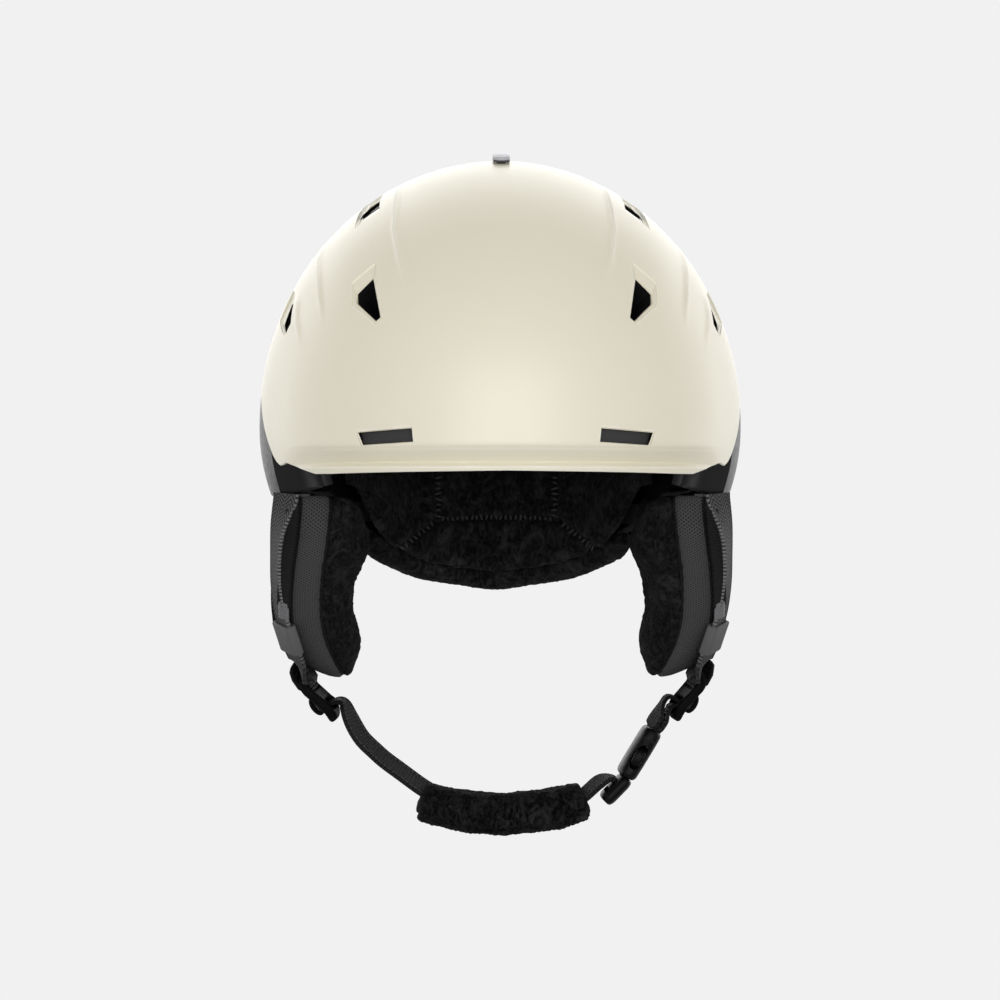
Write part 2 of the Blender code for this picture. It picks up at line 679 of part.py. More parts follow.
pinion = piece("dial_pinion", prism_y(round_dial(gear_profile()), (112.4, 114.6)), NYLON, AXLE)
cut(pinion, "pinion_bore", dial_rod(1.5, (110.0, 117.0), 14))

fluted = [(DIAL_RADIUS if k % 2 else DIAL_GROOVE_RADIUS, q)
          for k, q in enumerate(full_turn(2 * DIAL_FLUTES))]
dial = piece("fit_dial", prism_y(round_dial(fluted), (128.0, 144.0)), NYLON, AXLE)
add(dial, "dial_shaft", dial_rod(3.2, (115.0, 129.0), 20))
cut(dial, "dial_bore", dial_rod(1.4, (113.0, 124.0), 14))

dial_screw = piece("dial_screw", dial_rod(1.05, (111.2, 123.0), 14), STEEL, AXLE)
add(dial_screw, "dial_screw_head", dial_rod(2.3, (111.05, 112.05), 14))

for side, tag in SIDES:
    up = -side             # the right band carries the upper rack
    teeth = [(-side * x, DIAL_Z + up * (PITCH_RADIUS - h)) for x, h in rack_profile()]
    rack = piece("fit_band_" + tag, prism_y(teeth, RACK_Y), NYLON)
    add(rack, "band_" + tag, band_shape(side, up))

# ---------------------------------------------------------------- rear goggle clip
CLIP_Z = 52.0
clip_point = shell_point(180.0, shell_down(180.0, CLIP_Z))
clip_out = unit(shell_normal(clip_point) * (0.0, 1.0, 1.0))
clip_down = np.cross(clip_out, X_AXIS)             # down the rear of the shell
CLIP_FRAME = (clip_point, X_AXIS, clip_down, clip_out)
CLIP_PIN = in_frame(CLIP_FRAME, 0.0, -9.0, 6.6)


def clip_rod(radius, half_length, count=14):
    return rod(CLIP_PIN, X_AXIS, radius, -half_length, half_length, count)


clip_base = piece("goggle_clip_base",
                  block(CLIP_FRAME, (-13.0, 13.0), (-12.0, 14.0), (0.5, 4.0)), NYLON)
bevel(clip_base, 0.8)
for side, _ in SIDES:
    add(clip_base, "clip_ear_%d" % (side + 2),
        block(CLIP_FRAME, (side * 9.6, side * 12.6), (-11.6, -6.4), (3.0, 9.0)))
cut(clip_base, "clip_pin_hole", clip_rod(1.35, 20.0))
piece("goggle_clip_pin", clip_rod(1.1, 12.4), STEEL)
lever = piece("goggle_clip_lever",
              block(CLIP_FRAME, (-9.0, 9.0), (-8.6, 22.0), (5.4, 7.9)), NYLON, CLIP_PIN)
bevel(lever, 0.6)
add(lever, "lever_knuckle", clip_rod(2.4, 9.0, 16))
cut(lever, "lever_bore", clip_rod(1.35, 20.0))

# ---------------------------------------------------------------- ear pads
EAR_HINGE_X, EAR_HINGE_Z = 88.0, -1.0
EAR_TOP = -3.0
EAR_OUTLINE = (            # y, z
    (-46, -3.4), (-47, -12), (-46, -24), (-42, -37), (-36, -50), (-29, -62), (-22, -73),
    (-14, -80.5), (-3, -83), (8, -80.5), (16, -73), (24, -62), (32, -50), (39, -37),
    (43, -24), (44, -12), (43, -3.4), (28, -3.0), (8, -3.0), (-12, -3.0), (-30, -3.0))
EAR_CENTRE = np.array([-2.0, -34.0])
# Name, lowest z, material, levels of (depth from the outer face, scale, drop of the top)
EAR_LAYERS = (
    ("ear_cover_", -78.5, TWILL, ((0.0, 0.95, 0.4), (1.2, 0.985, 0.2), (3.9, 1.0, 0.2))),
    ("ear_body_", -80.6, MESH, ((4.3, 1.0, 0.2), (15.0, 0.99, 0.8), (18.0, 0.97, 1.6))),
    ("ear_cushion_", -83.0, PLUSH,
     ((18.5, 0.96, 2.4), (22.0, 0.97, 3.4), (29.0, 0.93, 5.5), (34.0, 0.8, 9.0))))


def ear_x(y, z):
    """Outer face of the ear pad: it bows round the head and tucks in at the bottom."""
    tuck = max(0.0, -38.0 - z)
    flare = 3.0 * min(1.0, max(0.0, -z / 30.0))
    return 103.5 + flare - 0.0032 * y * y - 0.0045 * tuck ** 2 - 0.00006 * tuck ** 3


def ear_ring(side, depth, scale, top_drop, lowest):
    ring = []
    for corner in EAR_OUTLINE:
        y, z = EAR_CENTRE + (np.array(corner) - EAR_CENTRE) * scale
        z = max(min(z, EAR_TOP - top_drop), lowest)
        ring.append(np.array([side * (ear_x(y, z) - depth), y, z]))
    return ring


for side, tag in SIDES:
    for layer, lowest, mat, levels in EAR_LAYERS:
        piece(layer + tag, loft([ear_ring(side, *level, lowest) for level in levels]),
              mat, (side * EAR_HINGE_X, 0.0, EAR_HINGE_Z))

# ---------------------------------------------------------------- strap dividers
DIVIDER_TILT = 20 * DEGREE             # each plate turns this far towards the front
DIVIDERS = {                           # side: centre, direction down the plate
    -1: ((-85.5, -8.0, -93.0), (0.597, 0.0, -0.802)),
    1: ((88.6, -8.0, -92.2), (-0.49, 0.0, -0.872))}


def divider_frame(side):
    """Centre, then directions down the plate, across it and towards the head."""
    centre, down = DIVIDERS[side]
    down = unit(down)
    flat = unit(np.cross(down, Y_AXIS)) * -side
    inward = unit(flat * math.cos(DIVIDER_TILT) - Y_AXIS * math.sin(DIVIDER_TILT))
    return centre, down, unit(np.cross(inward, down)), inward


for side, tag in SIDES:
    frame = divider_frame(side)
    plate = piece("strap_divider_" + tag,
                  block(frame, (-13.0, 13.0), (-10.6, 10.6), (-1.3, 1.3)), NYLON)
    bevel(plate, 1.2, segments=2, angle=60.0)
    cut(plate, "divider_top_" + tag, block(frame, (-10.0, -2.6), (-8.0, 8.0), (-6.0, 6.0)))
    cut(plate, "divider_low_" + tag, block(frame, (1.0, 9.8), (-8.0, 8.0), (-6.0, 6.0)))

# ---------------------------------------------------------------- webbing on the sides
# Stations on the ear pad: y, z, offset from its outer face
FRONT_STRAP = ((-41, -0.9, 2.2), (-40, -8, 2.6), (-37, -18, 2.6), (-33, -28, 2.6),
               (-28, -38, 2.6), (-23, -48, 2.6), (-19, -58, 2.6), (-15.5, -67, 2.8))
REAR_STRAP = ((39, -0.9, 2.2), (37, -10, 2.6), (33, -22, 2.6), (28, -34, 2.6),
              (22, -46, 2.8), (15, -57, 3.6), (8, -67, 4.8), (3.0, -73, 5.4))
# Stations over the divider's top bar: distance down the plate, distance outside it
FRONT_TAIL = ((-15.0, 4.4), (-9.0, 3.0), (-5.0, 2.8))
REAR_TAIL = ((-13.0, 6.6), (-8.5, 5.2), (-6.0, 5.0))
STRAP_OFFSET = 2.6


def on_ear(side, y, z, offset):
    """A point off the ear pad's outer face, and the normal there."""
    slope_y = (ear_x(y + 1, z) - ear_x(y - 1, z)) / 2
    slope_z = (ear_x(y, z + 1) - ear_x(y, z - 1)) / 2
    normal = unit([side, -slope_y, -slope_z])
    return np.array([side * ear_x(y, z), y, z]) + normal * offset, normal


def side_strap(name, side, stations, tail):
    points, normals = (list(part) for part in zip(*[on_ear(side, *s) for s in stations]))
    frame = divider_frame(side)
    for down, outside in tail:
        points.append(in_frame(frame, down, 0.0, -outside))
        normals.append(-frame[3])
    across = []
    for i, normal in enumerate(normals):
        along = unit(points[min(i + 1, len(points) - 1)] - points[max(i - 1, 0)])
        across.append(np.cross(along, normal))
    piece(name, ribbon(points, across), WEB)


def strap_anchor(name, side, y):
    """A small block behind the top of a strap."""
    point, normal = on_ear(side, y, 0.0, STRAP_OFFSET)
    along = unit([-normal[1] * side, normal[0] * side, 0.0])
    outward = unit([normal[0], normal[1], 0.0])
    frame = ((point[0], point[1], 0.0), along, outward, Z_AXIS)
    bevel(piece(name, block(frame, (-7.0, 7.0), (-11.0, -6.4), (1.1, 3.1)), NYLON), 0.4)


def strap_keeper(side, tag):
    """Flat loop round the front strap, low on the ear pad."""
    upper, upper_normal = on_ear(side, -23, -48, STRAP_OFFSET)
    lower, lower_normal = on_ear(side, -19, -58, STRAP_OFFSET)
    along, normal = unit(lower - upper), unit(upper_normal + lower_normal)
    frame = ((upper + lower) / 2, along, unit(np.cross(along, normal)), normal)
    keeper = piece("strap_keeper_" + tag,
                   block(frame, (-5.5, 5.5), (-9.6, 9.6), (-2.15, 2.4)), GREY)
    cut(keeper, "keeper_" + tag, block(frame, (-12.0, 12.0), (-8.0, 8.0), (-1.25, 1.25)))


for side, tag in SIDES:
    side_strap("strap_front_" + tag, side, FRONT_STRAP, FRONT_TAIL)
    side_strap("strap_rear_" + tag, side, REAR_STRAP, REAR_TAIL)
    strap_anchor("strap_anchor_front_" + tag, side, FRONT_STRAP[0][0])
    strap_anchor("strap_anchor_rear_" + tag, side, REAR_STRAP[0][0])
    strap_keeper(side, tag)

# ---------------------------------------------------------------- chin sling
SLING_Y = -12.0
SLING_PIVOT = (0.0, -8.0, -93.0)       # on the cross line near both strap dividers
BUCKLE_TOP = np.array([71.4, SLING_Y, -108.6])
buckle_down = unit((-0.5185, 0.0, -0.8551))
# Down the buckle, across it towards the rear, and out to the left
BUCKLE_FRAME = (BUCKLE_TOP, buckle_down, Y_AXIS, unit(np.cross(buckle_down, Y_AXIS)))
RIGHT_STRAP = ((-72.4, -8.4, -93.5), (-71.0, -9.0, -99.5), (-68.6, -9.8, -107.0),
               (-64.6, -10.6, -112.8), (-59.5, -11.4, -117.6), (-54.3, -11.8, -122.2),
               (-47.8, -12.0, -127.0), (-42.4, -12.0, -131.0))
LEFT_STRAP = ((78.6, -8.6, -90.5), (77.4, -9.8, -95.5), (76.2, -11.2, -100.0),
              BUCKLE_TOP + buckle_down * -5.0, BUCKLE_TOP + buckle_down * -2.2)

piece("chin_strap_right", ribbon(smooth_path(RIGHT_STRAP, 2), Y_AXIS), WEB, SLING_PIVOT)
piece("chin_strap_left", ribbon(smooth_path(LEFT_STRAP, 2), Y_AXIS, 2 * WEB_THICKNESS),
      WEB, SLING_PIVOT)

# ---------------------------------------------------------------- buckle
ARM_OUTLINE = (            # distance down the buckle, distance from its middle
    (25.1, 6.2), (25.1, 9.2), (20.0, 9.4), (18.8, 9.7), (18.4, 11.9), (14.0, 13.2),
    (10.0, 11.9), (9.6, 9.6), (8.0, 7.6), (8.4, 5.4), (14.0, 5.2), (20.0, 6.0))
ARM_HALF_THICKNESS = 2.2


def buckle_block(down, across, out):
    return block(BUCKLE_FRAME, down, across, out)


female = piece("buckle_female", buckle_block((-1.0, 25.0), (-12.5, 12.5), (-4.5, 4.5)),
               NYLON, SLING_PIVOT)
bevel(female, 2.0, segments=2)
cut(female, "female_cavity", buckle_block((5.5, 40.0), (-10.2, 10.2), (-2.7, 2.7)))
cut(female, "female_windows", buckle_block((9.0, 19.4), (-30.0, 30.0), (-3.0, 3.0)))
cut(female, "female_strap_slot", buckle_block((1.2, 3.6), (-8.0, 8.0), (-20.0, 20.0)))

male = piece("buckle_male", buckle_block((25.5, 40.0), (-11.6, 11.6), (-3.8, 3.8)),
             NYLON, BUCKLE_TOP)
bevel(male, 1.6, segments=2)
add(male, "male_guide", buckle_block((8.5, 27.0), (-1.4, 1.4), (-2.1, 2.1)))
cut(male, "ladder_1", buckle_block((29.4, 32.0), (-8.0, 8.0), (-20.0, 20.0)))
cut(male, "ladder_2", buckle_block((34.4, 37.0), (-8.0, 8.0), (-20.0, 20.0)))

for way, tag in ((-1, "front"), (1, "rear")):
    loop = [in_frame(BUCKLE_FRAME, down, way * across, 0.0) for down, across in ARM_OUTLINE]
    reach = BUCKLE_FRAME[3] * ARM_HALF_THICKNESS
    piece("buckle_arm_" + tag, prism(loop, -reach, reach), NYLON,
          in_frame(BUCKLE_FRAME, 23.4, way * 7.6, 0.0))

# ---------------------------------------------------------------- under the chin
CHIN_CENTRE = (1.5, SLING_Y, -30.5)
CHIN_RADIUS = 117.0
CHIN_PAD_HALF_THICKNESS, CHIN_PAD_HALF_WIDTH = 9.4, 13.0
CHIN_SLOT = ((1.3, 8.2), (1.3, -8.2), (-1.3, -8.2), (-1.3, 8.2))   # radial, y


def chin_point(angle, radial, y):
    """A point by its angle from the bottom of the chin arc, and distances off the arc."""
    radius = CHIN_RADIUS + radial
    return np.array([CHIN_CENTRE[0] + radius * math.sin(angle * DEGREE), SLING_Y + y,
                     CHIN_CENTRE[2] - radius * math.cos(angle * DEGREE)])


def squared_off(value):
    """Fattens a circle's sine or cosine towards a square."""
    return np.sign(value) * abs(value) ** 0.7


def chin_pad_ring(angle):
    scale = 0.82 if abs(angle) > 18.5 else 1.0     # the end rings are smaller
    return [chin_point(angle, CHIN_PAD_HALF_THICKNESS * scale * squared_off(math.sin(q)),
                       CHIN_PAD_HALF_WIDTH * scale * squared_off(math.cos(q)))
            for q in full_turn(16)]


chin_path = [chin_point(angle, 0.0, 0.0) for angle in np.linspace(-19.6, 21.2, 13)]
chin_path.append(np.array([46.0, SLING_Y, -140.9]))
piece("chin_strap_lower", ribbon(chin_path, Y_AXIS), WEB, BUCKLE_TOP)

chin_pad = piece("chin_pad", loft([chin_pad_ring(a) for a in np.linspace(-19.0, 19.0, 13)]),
                 PLUSH, CHIN_CENTRE)
cut(chin_pad, "chin_pad_slot", loft([[chin_point(a, radial, y) for radial, y in CHIN_SLOT]
                                     for a in np.linspace(-24.0, 24.0, 17)]))
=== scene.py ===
"""Looks of a ski helmet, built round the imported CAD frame.

Lengths are millimetres from the helmet datum: +x is the wearer's left, -y the front and +z
up, with z = 0 level with the lower shell's bottom edge at the ears. to_frame() turns them
into the frame's metres. An azimuth is degrees from the front, positive on the left; a polar
angle is degrees down from the crown. Materials, stage, lights and camera are in metres.
"""
import bpy
import bmesh
import json
import math
import numpy as np
from types import SimpleNamespace
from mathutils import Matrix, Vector, noise
from mathutils.bvhtree import BVHTree

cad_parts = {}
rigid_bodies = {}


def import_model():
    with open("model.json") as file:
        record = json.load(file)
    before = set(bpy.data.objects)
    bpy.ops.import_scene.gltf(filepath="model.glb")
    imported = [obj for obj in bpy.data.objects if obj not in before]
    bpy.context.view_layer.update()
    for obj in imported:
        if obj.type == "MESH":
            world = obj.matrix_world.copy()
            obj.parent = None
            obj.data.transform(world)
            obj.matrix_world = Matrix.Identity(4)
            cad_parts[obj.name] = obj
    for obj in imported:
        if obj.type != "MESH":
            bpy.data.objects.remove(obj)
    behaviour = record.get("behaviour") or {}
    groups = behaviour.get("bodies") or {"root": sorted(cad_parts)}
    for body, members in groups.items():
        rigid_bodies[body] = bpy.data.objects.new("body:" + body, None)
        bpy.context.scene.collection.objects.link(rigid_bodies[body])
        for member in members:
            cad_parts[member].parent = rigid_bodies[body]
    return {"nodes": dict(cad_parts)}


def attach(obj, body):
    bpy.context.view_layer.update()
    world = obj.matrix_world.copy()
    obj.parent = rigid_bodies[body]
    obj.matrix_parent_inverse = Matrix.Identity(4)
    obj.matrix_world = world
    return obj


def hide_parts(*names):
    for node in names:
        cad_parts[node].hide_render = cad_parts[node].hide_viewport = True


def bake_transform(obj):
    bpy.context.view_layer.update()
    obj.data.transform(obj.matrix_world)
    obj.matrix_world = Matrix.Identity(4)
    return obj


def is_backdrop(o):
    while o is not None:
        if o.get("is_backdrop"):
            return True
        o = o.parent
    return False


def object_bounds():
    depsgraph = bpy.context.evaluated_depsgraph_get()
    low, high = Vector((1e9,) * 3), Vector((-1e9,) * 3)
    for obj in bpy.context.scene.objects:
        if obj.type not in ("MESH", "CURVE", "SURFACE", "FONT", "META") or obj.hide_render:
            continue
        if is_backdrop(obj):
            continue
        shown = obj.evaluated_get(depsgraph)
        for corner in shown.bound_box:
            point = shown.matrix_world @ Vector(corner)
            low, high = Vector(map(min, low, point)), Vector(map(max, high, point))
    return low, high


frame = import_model()
cad_lo, cad_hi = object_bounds()
CAD = frame["nodes"]
scene = bpy.context.scene

DEG = math.pi / 180.0
DATUM_Z = 130.0          # the datum stands this far below the frame's origin plus z
CENTRE_Z = 34.0          # centre of the egg shapes of shell and cavity
SIDES = ((-1, "right"), (1, "left"))
X, Y, Z = np.eye(3)
WORLD_AXES = (np.zeros(3), X, Y, Z)


# ================================================================ shader graphs
def operation(kind):
    """A Signal method that adds a Math node of this kind."""
    def method(self, *others):
        return self.graph.math(kind, self, *others)
    return method


class Signal:
    """A shader node's output; arithmetic on it adds Math nodes."""

    def __init__(self, graph, socket):
        self.graph = graph
        self.socket = socket

    __add__ = operation("ADD")
    __sub__ = operation("SUBTRACT")
    __mul__ = operation("MULTIPLY")
    __mod__ = operation("MODULO")
    __lt__ = operation("LESS_THAN")
    __gt__ = operation("GREATER_THAN")
    __abs__ = operation("ABSOLUTE")
    floor = operation("FLOOR")
    fract = operation("FRACT")
    sqrt = operation("SQRT")
    pingpong = operation("PINGPONG")

    def __radd__(self, other):
        return self.graph.math("ADD", other, self)

    def ramp(self, span, to=(0.0, 1.0), **settings):
        inputs = {"Value": self, "From Min": span[0], "From Max": span[1],
                  "To Min": to[0], "To Max": to[1]}
        return self.graph.add("ShaderNodeMapRange", inputs, "Result", **settings)


class Graph:
    """A node tree built in short calls; spare fills a Math node's unused inputs."""

    def __init__(self, tree, spare=None):
        self.tree = tree
        self.spare = spare

    def put(self, socket, value):
        if isinstance(value, Signal):
            self.tree.links.new(value.socket, socket)
        elif value is not None:
            socket.default_value = (*value, 1.0) if socket.type == "RGBA" else value

    def node(self, kind, inputs, **settings):
        node = self.tree.nodes.new(kind)
        for key, value in settings.items():
            setattr(node, key, value)
        for key, value in inputs.items():
            self.put(node.inputs[key], value)
        return node

    def add(self, kind, inputs, output=0, **settings):
        return Signal(self, self.node(kind, inputs, **settings).outputs[output])

    def output_of(self, name):
        return Signal(self, self.tree.nodes[name].outputs[0])

    def math(self, kind, *values):
        values += (self.spare,) * (3 - len(values))
        return self.add("ShaderNodeMath", dict(enumerate(values)), operation=kind)

    def split(self, vector):
        node = self.node("ShaderNodeSeparateXYZ", {0: vector})
        return [Signal(self, socket) for socket in node.outputs]

    def mix_shader(self, factor, first, second):
        return self.add("ShaderNodeMixShader", {0: factor, 1: first, 2: second})


class Paint(Graph):
    """A Principled material; textures use object coordinates unless told otherwise."""

    def __init__(self, name, roughness, metallic=0.0):
        self.material = bpy.data.materials.new(name)
        self.material.use_nodes = True
        super().__init__(self.material.node_tree, spare=0.0)
        self.surface(roughness=roughness, metallic=metallic)
        node = self.node("ShaderNodeTexCoord", {})
        self.object = Signal(self, node.outputs["Object"])
        self.uv = Signal(self, node.outputs["UV"])

    def surface(self, **inputs):
        """Set Principled inputs, base_color standing for "Base Color" and so on."""
        shader = self.tree.nodes["Principled BSDF"]
        for key, value in inputs.items():
            name = key.replace("_", " ").title().replace("Ior", "IOR")
            self.put(shader.inputs[name], value)
        return self.material

    def noise(self, scale, detail=2.0, rough=0.5, warp=0.0, at=None):
        inputs = {"Vector": at or self.object, "Scale": scale, "Detail": detail,
                  "Roughness": rough, "Distortion": warp}
        return self.add("ShaderNodeTexNoise", inputs, "Fac")

    def cells(self, scale, feature="F1"):
        inputs = {"Vector": self.object, "Scale": scale}
        return self.add("ShaderNodeTexVoronoi", inputs, "Distance", feature=feature)

    def stretched(self, scale):
        return self.add("ShaderNodeMapping", {"Vector": self.object, "Scale": scale}, "Vector")

    def mix(self, factor, low, high):
        inputs = {"Factor": factor, 6: low, 7: high}
        return self.add("ShaderNodeMix", inputs, 2, data_type="RGBA")

    def edges(self, span):
        return self.add("ShaderNodeNewGeometry", {}, "Pointiness").ramp(span)

    def bump(self, height, strength, distance, over=None):
        inputs = {"Strength": strength, "Distance": distance, "Height": height, "Normal": over}
        return self.add("ShaderNodeBump", inputs)


def tint(value, green=0.97):
    return (value, value * green, value)


# ================================================================ materials
def cream_satin():
    paint = Paint("shell_cream_satin", roughness=0.42)
    color = paint.mix(paint.noise(scale=9.0, detail=3.0),
                      (0.745, 0.700, 0.560), (0.775, 0.732, 0.592))
    # painted highlight: sharp ridges, style lines and rims are painted near white
    color = paint.mix(paint.edges((0.51, 0.59)) * 0.75, color, (0.94, 0.93, 0.88))
    return paint.surface(
        base_color=color,
        roughness=paint.noise(scale=260.0, detail=3.0).ramp((0.3, 0.7), to=(0.37, 0.46)),
        normal=paint.bump(
            paint.noise(scale=1500.0), strength=0.05, distance=0.0004,
            over=paint.bump(paint.noise(scale=240.0, detail=1.0), 0.02, distance=0.0006)),
        coat_weight=0.3, coat_roughness=0.3)


def black_satin():
    paint = Paint("lower_shell_black_satin", roughness=0.4)
    color = paint.mix(paint.noise(scale=30.0, detail=3.0),
                      (0.0050, 0.0048, 0.0056), (0.0078, 0.0075, 0.0086))
    return paint.surface(
        # painted highlight: sharp edges are painted lighter grey
        base_color=paint.mix(paint.edges((0.52, 0.62)) * 0.5, color, (0.04, 0.04, 0.043)),
        specular_ior_level=0.26,
        roughness=paint.noise(scale=400.0, detail=3.0).ramp((0.3, 0.7), to=(0.34, 0.44)),
        normal=paint.bump(paint.noise(scale=1800.0), strength=0.10, distance=0.0003))


def bead_foam():
    paint = Paint("bead_foam", roughness=0.85)
    bead = paint.cells(scale=330.0)
    gap = paint.cells(scale=330.0, feature="DISTANCE_TO_EDGE")
    color = paint.mix(gap.ramp((0.0, 0.09)), (0.002, 0.002, 0.002), (0.008, 0.008, 0.0085))
    color = paint.mix(paint.noise(scale=60.0, detail=3.0), color, (0.005, 0.005, 0.0055))
    return paint.surface(base_color=color, specular_ior_level=0.1,
                         normal=paint.bump(bead, strength=0.5, distance=0.0006))


def plush(name, low, high, size, sheen):
    """Short pile: combed tufts a few millimetres long, with painted highlights at their tips and
    in swirls.
    """
    paint = Paint(name, roughness=0.95)
    patch = paint.noise(scale=60.0 / size)
    combed = paint.stretched((1.0, 1.0, 0.55))
    tuft = paint.noise(scale=420.0 / size, detail=4.0, rough=0.62, warp=1.4, at=combed)
    fine = paint.noise(scale=1500.0 / size, detail=3.0, rough=0.7, warp=0.8, at=combed)
    swirl = paint.noise(scale=95.0 / size, detail=3.0, rough=0.6, warp=2.2)
    height = tuft * 0.65 + fine * 0.35
    # painted highlight: the tips of the tufts are painted lighter
    color = paint.mix(height.ramp((0.44, 0.66)), tint(low), tint(high))
    # painted highlight: lighter swirls stand in for sheen on the pile
    color = paint.mix(swirl.ramp((0.52, 0.72)) * 0.6, color,
                      (high * 1.7, high * 1.65, high * 1.7))
    color = paint.mix(patch.ramp((0.35, 0.6)) * 0.35, color, tint(low * 0.6, green=1.0))
    return paint.surface(
        base_color=color, sheen_weight=sheen, sheen_roughness=0.45,
        sheen_tint=(0.55, 0.53, 0.54), specular_ior_level=0.06,
        normal=paint.bump(height, strength=0.9, distance=0.0016,
                          over=paint.bump(swirl, strength=0.5, distance=0.002)))


def twill(name, base, light, pitch, stitched=False):
    """Herringbone twill: u runs along the strap and v across it, in millimetres."""
    paint = Paint(name, roughness=0.7)
    u, v, _ = paint.split(paint.uv)
    diagonal = u + v.pingpong(4.0)
    line = (diagonal * (1.0 / pitch)).pingpong(0.5)
    thread = (v * (1.0 / 0.55)).pingpong(0.5)
    height = line * 1.4 + thread * 0.5
    fluff = paint.noise(scale=900.0, detail=3.0)
    color = paint.mix(height.ramp((0.15, 0.8)), tint(base, green=0.96), tint(light))
    color = paint.mix(fluff * 0.35, color, (base, base, base))
    if stitched:
        near_edge = abs(v) > 7.0
        dash = (u * (1.0 / 1.7)).fract() < 0.5
        color = paint.mix(near_edge * dash, color, (0.15, 0.15, 0.15))
        # painted shade at the low end, which turns through the divider
        _, _, z = paint.split(paint.object)
        low_end = z.ramp((-0.209, -0.200), to=(0.85, 0.0))
        color = paint.mix(low_end, color, (0.0035, 0.0034, 0.0036))
    return paint.surface(
        base_color=color, sheen_weight=0.05, specular_ior_level=0.15,
        roughness=height.ramp((0.1, 0.9), to=(0.8, 0.6)),
        normal=paint.bump(height, strength=0.7, distance=0.0005,
                          over=paint.bump(fluff, strength=0.2, distance=0.0003)))


def webbing(name, base, light, half_width, pitch, thread=0.10):
    """Ribbed webbing stitched inside each edge; u along and v across, in millimetres."""
    paint = Paint(name, roughness=0.75)
    u, v, _ = paint.split(paint.uv)
    rib = (u * (1.0 / pitch)).pingpong(0.5)
    warp = (v * (1.0 / 0.8) + (u * (1.0 / pitch)).floor() * 0.5).pingpong(0.5)
    height = rib + warp * 0.6
    color = paint.mix(height.ramp((0.1, 0.75)), tint(base, green=0.96), tint(light))
    on_line = abs(abs(v) - (half_width - 1.5)) < 0.42
    dash = (u * (1.0 / 2.5)).fract() < 0.62
    stitch = on_line * dash
    color = paint.mix(stitch, color, (thread, thread, thread))
    # painted shade where it turns round the divider's bars
    _, _, z = paint.split(paint.object)
    turned = (z.ramp((-0.2300, -0.2270), to=(0.0, 0.9))
              * z.ramp((-0.2050, -0.1980), to=(1.0, 0.0)))
    color = paint.mix(turned, color, (0.0022, 0.0021, 0.0023))
    return paint.surface(
        base_color=color, sheen_weight=0.03, specular_ior_level=0.12,
        normal=paint.bump(
            height + stitch * 1.2, strength=0.9, distance=0.0008,
            over=paint.bump(paint.noise(scale=1200.0), strength=0.05, distance=0.0001)))


def spacer_mesh():
    """Staggered rows of small holes; u round the pad and v across its side, in millimetres."""
    paint = Paint("spacer_mesh", roughness=0.85)
    u, v, _ = paint.split(paint.uv)
    pitch = 1.15
    row = (v * (1.0 / pitch)).floor()
    stagger = (abs(row) % 2.0) * 0.5
    along = (u * (1.0 / pitch) + stagger).fract() - 0.5
    across = (v * (1.0 / pitch)).fract() - 0.5
    slant = (stagger * 4.0 - 1.0) * 0.55
    skewed = along + across * slant
    radius = (skewed * skewed * 3.2 + across * across * 0.62).sqrt()
    rim = radius.ramp((0.22, 0.36))
    fibre = paint.noise(scale=2200.0)
    color = paint.mix(rim, (0.0015, 0.0015, 0.0015), (0.066, 0.067, 0.066))
    return paint.surface(
        base_color=paint.mix(fibre * 0.35, color, (0.010, 0.010, 0.010)),
        sheen_weight=0.03, specular_ior_level=0.12,
        normal=paint.bump(rim, strength=0.8, distance=0.0006,
                          over=paint.bump(fibre, strength=0.2, distance=0.0002)))


def plastic(name, color, rough, grain=1400.0, edge=1.6, spec=0.4):
    """Moulded plastic with fine grain; edge is how much lighter its edges are painted, as a
    painted highlight.
    """
    paint = Paint(name, roughness=rough)
    body = paint.mix(paint.noise(scale=45.0, detail=3.0), color, tuple(c * 1.25 for c in color))
    # painted highlight: edges are painted lighter than the body
    worn = tuple(min(0.8, c * (1 + edge) + 0.006) for c in color)
    return paint.surface(
        base_color=paint.mix(paint.edges((0.52, 0.63)) * 0.6, body, worn),
        roughness=paint.noise(scale=500.0, detail=3.0).ramp(
            (0.3, 0.7), to=(rough - 0.05, rough + 0.07)),
        normal=paint.bump(
            paint.noise(scale=grain), strength=0.12, distance=0.0002,
            over=paint.bump(paint.noise(scale=110.0), strength=0.05, distance=0.0004)),
        specular_ior_level=spec)


def brushed_steel():
    paint = Paint("screw_steel_brushed", roughness=0.28, metallic=1.0)
    streak = paint.noise(scale=900.0, detail=3.0, at=paint.stretched((1.0, 1.0, 9.0)))
    return paint.surface(
        base_color=paint.mix(streak, (0.48, 0.48, 0.49), (0.66, 0.66, 0.67)),
        roughness=streak.ramp((0.3, 0.7), to=(0.2, 0.38)),
        normal=paint.bump(streak, strength=0.15, distance=0.0001))


CREAM = cream_satin()
BLACK = black_satin()
FOAM = bead_foam()
PLUSH_IN = plush("plush_interior", low=0.0040, high=0.0300, size=1.6, sheen=0.05)
PLUSH_EAR = plush("plush_ear", low=0.0030, high=0.0220, size=1.1, sheen=0.04)
PLUSH_CHIN = plush("plush_chin", low=0.0008, high=0.0230, size=1.3, sheen=0.03)
TWILL = twill("strap_twill", base=0.006, light=0.10, pitch=2.0, stitched=True)
COVER = twill("ear_cover_twill", base=0.005, light=0.030, pitch=1.9)
RIBBON = webbing("edge_ribbon", base=0.003, light=0.011, half_width=20.0, pitch=1.3)
WEB = webbing("chin_webbing", base=0.0030, light=0.020, half_width=7.5, pitch=1.6, thread=0.075)
MESH = spacer_mesh()
NYLON = plastic("moulded_nylon", (0.0022, 0.0021, 0.0023), rough=0.40, spec=0.10)
NYLON_SOFT = plastic("moulded_nylon_soft", (0.0030, 0.0028, 0.0031), rough=0.62, edge=1.2,
                     spec=0.04)
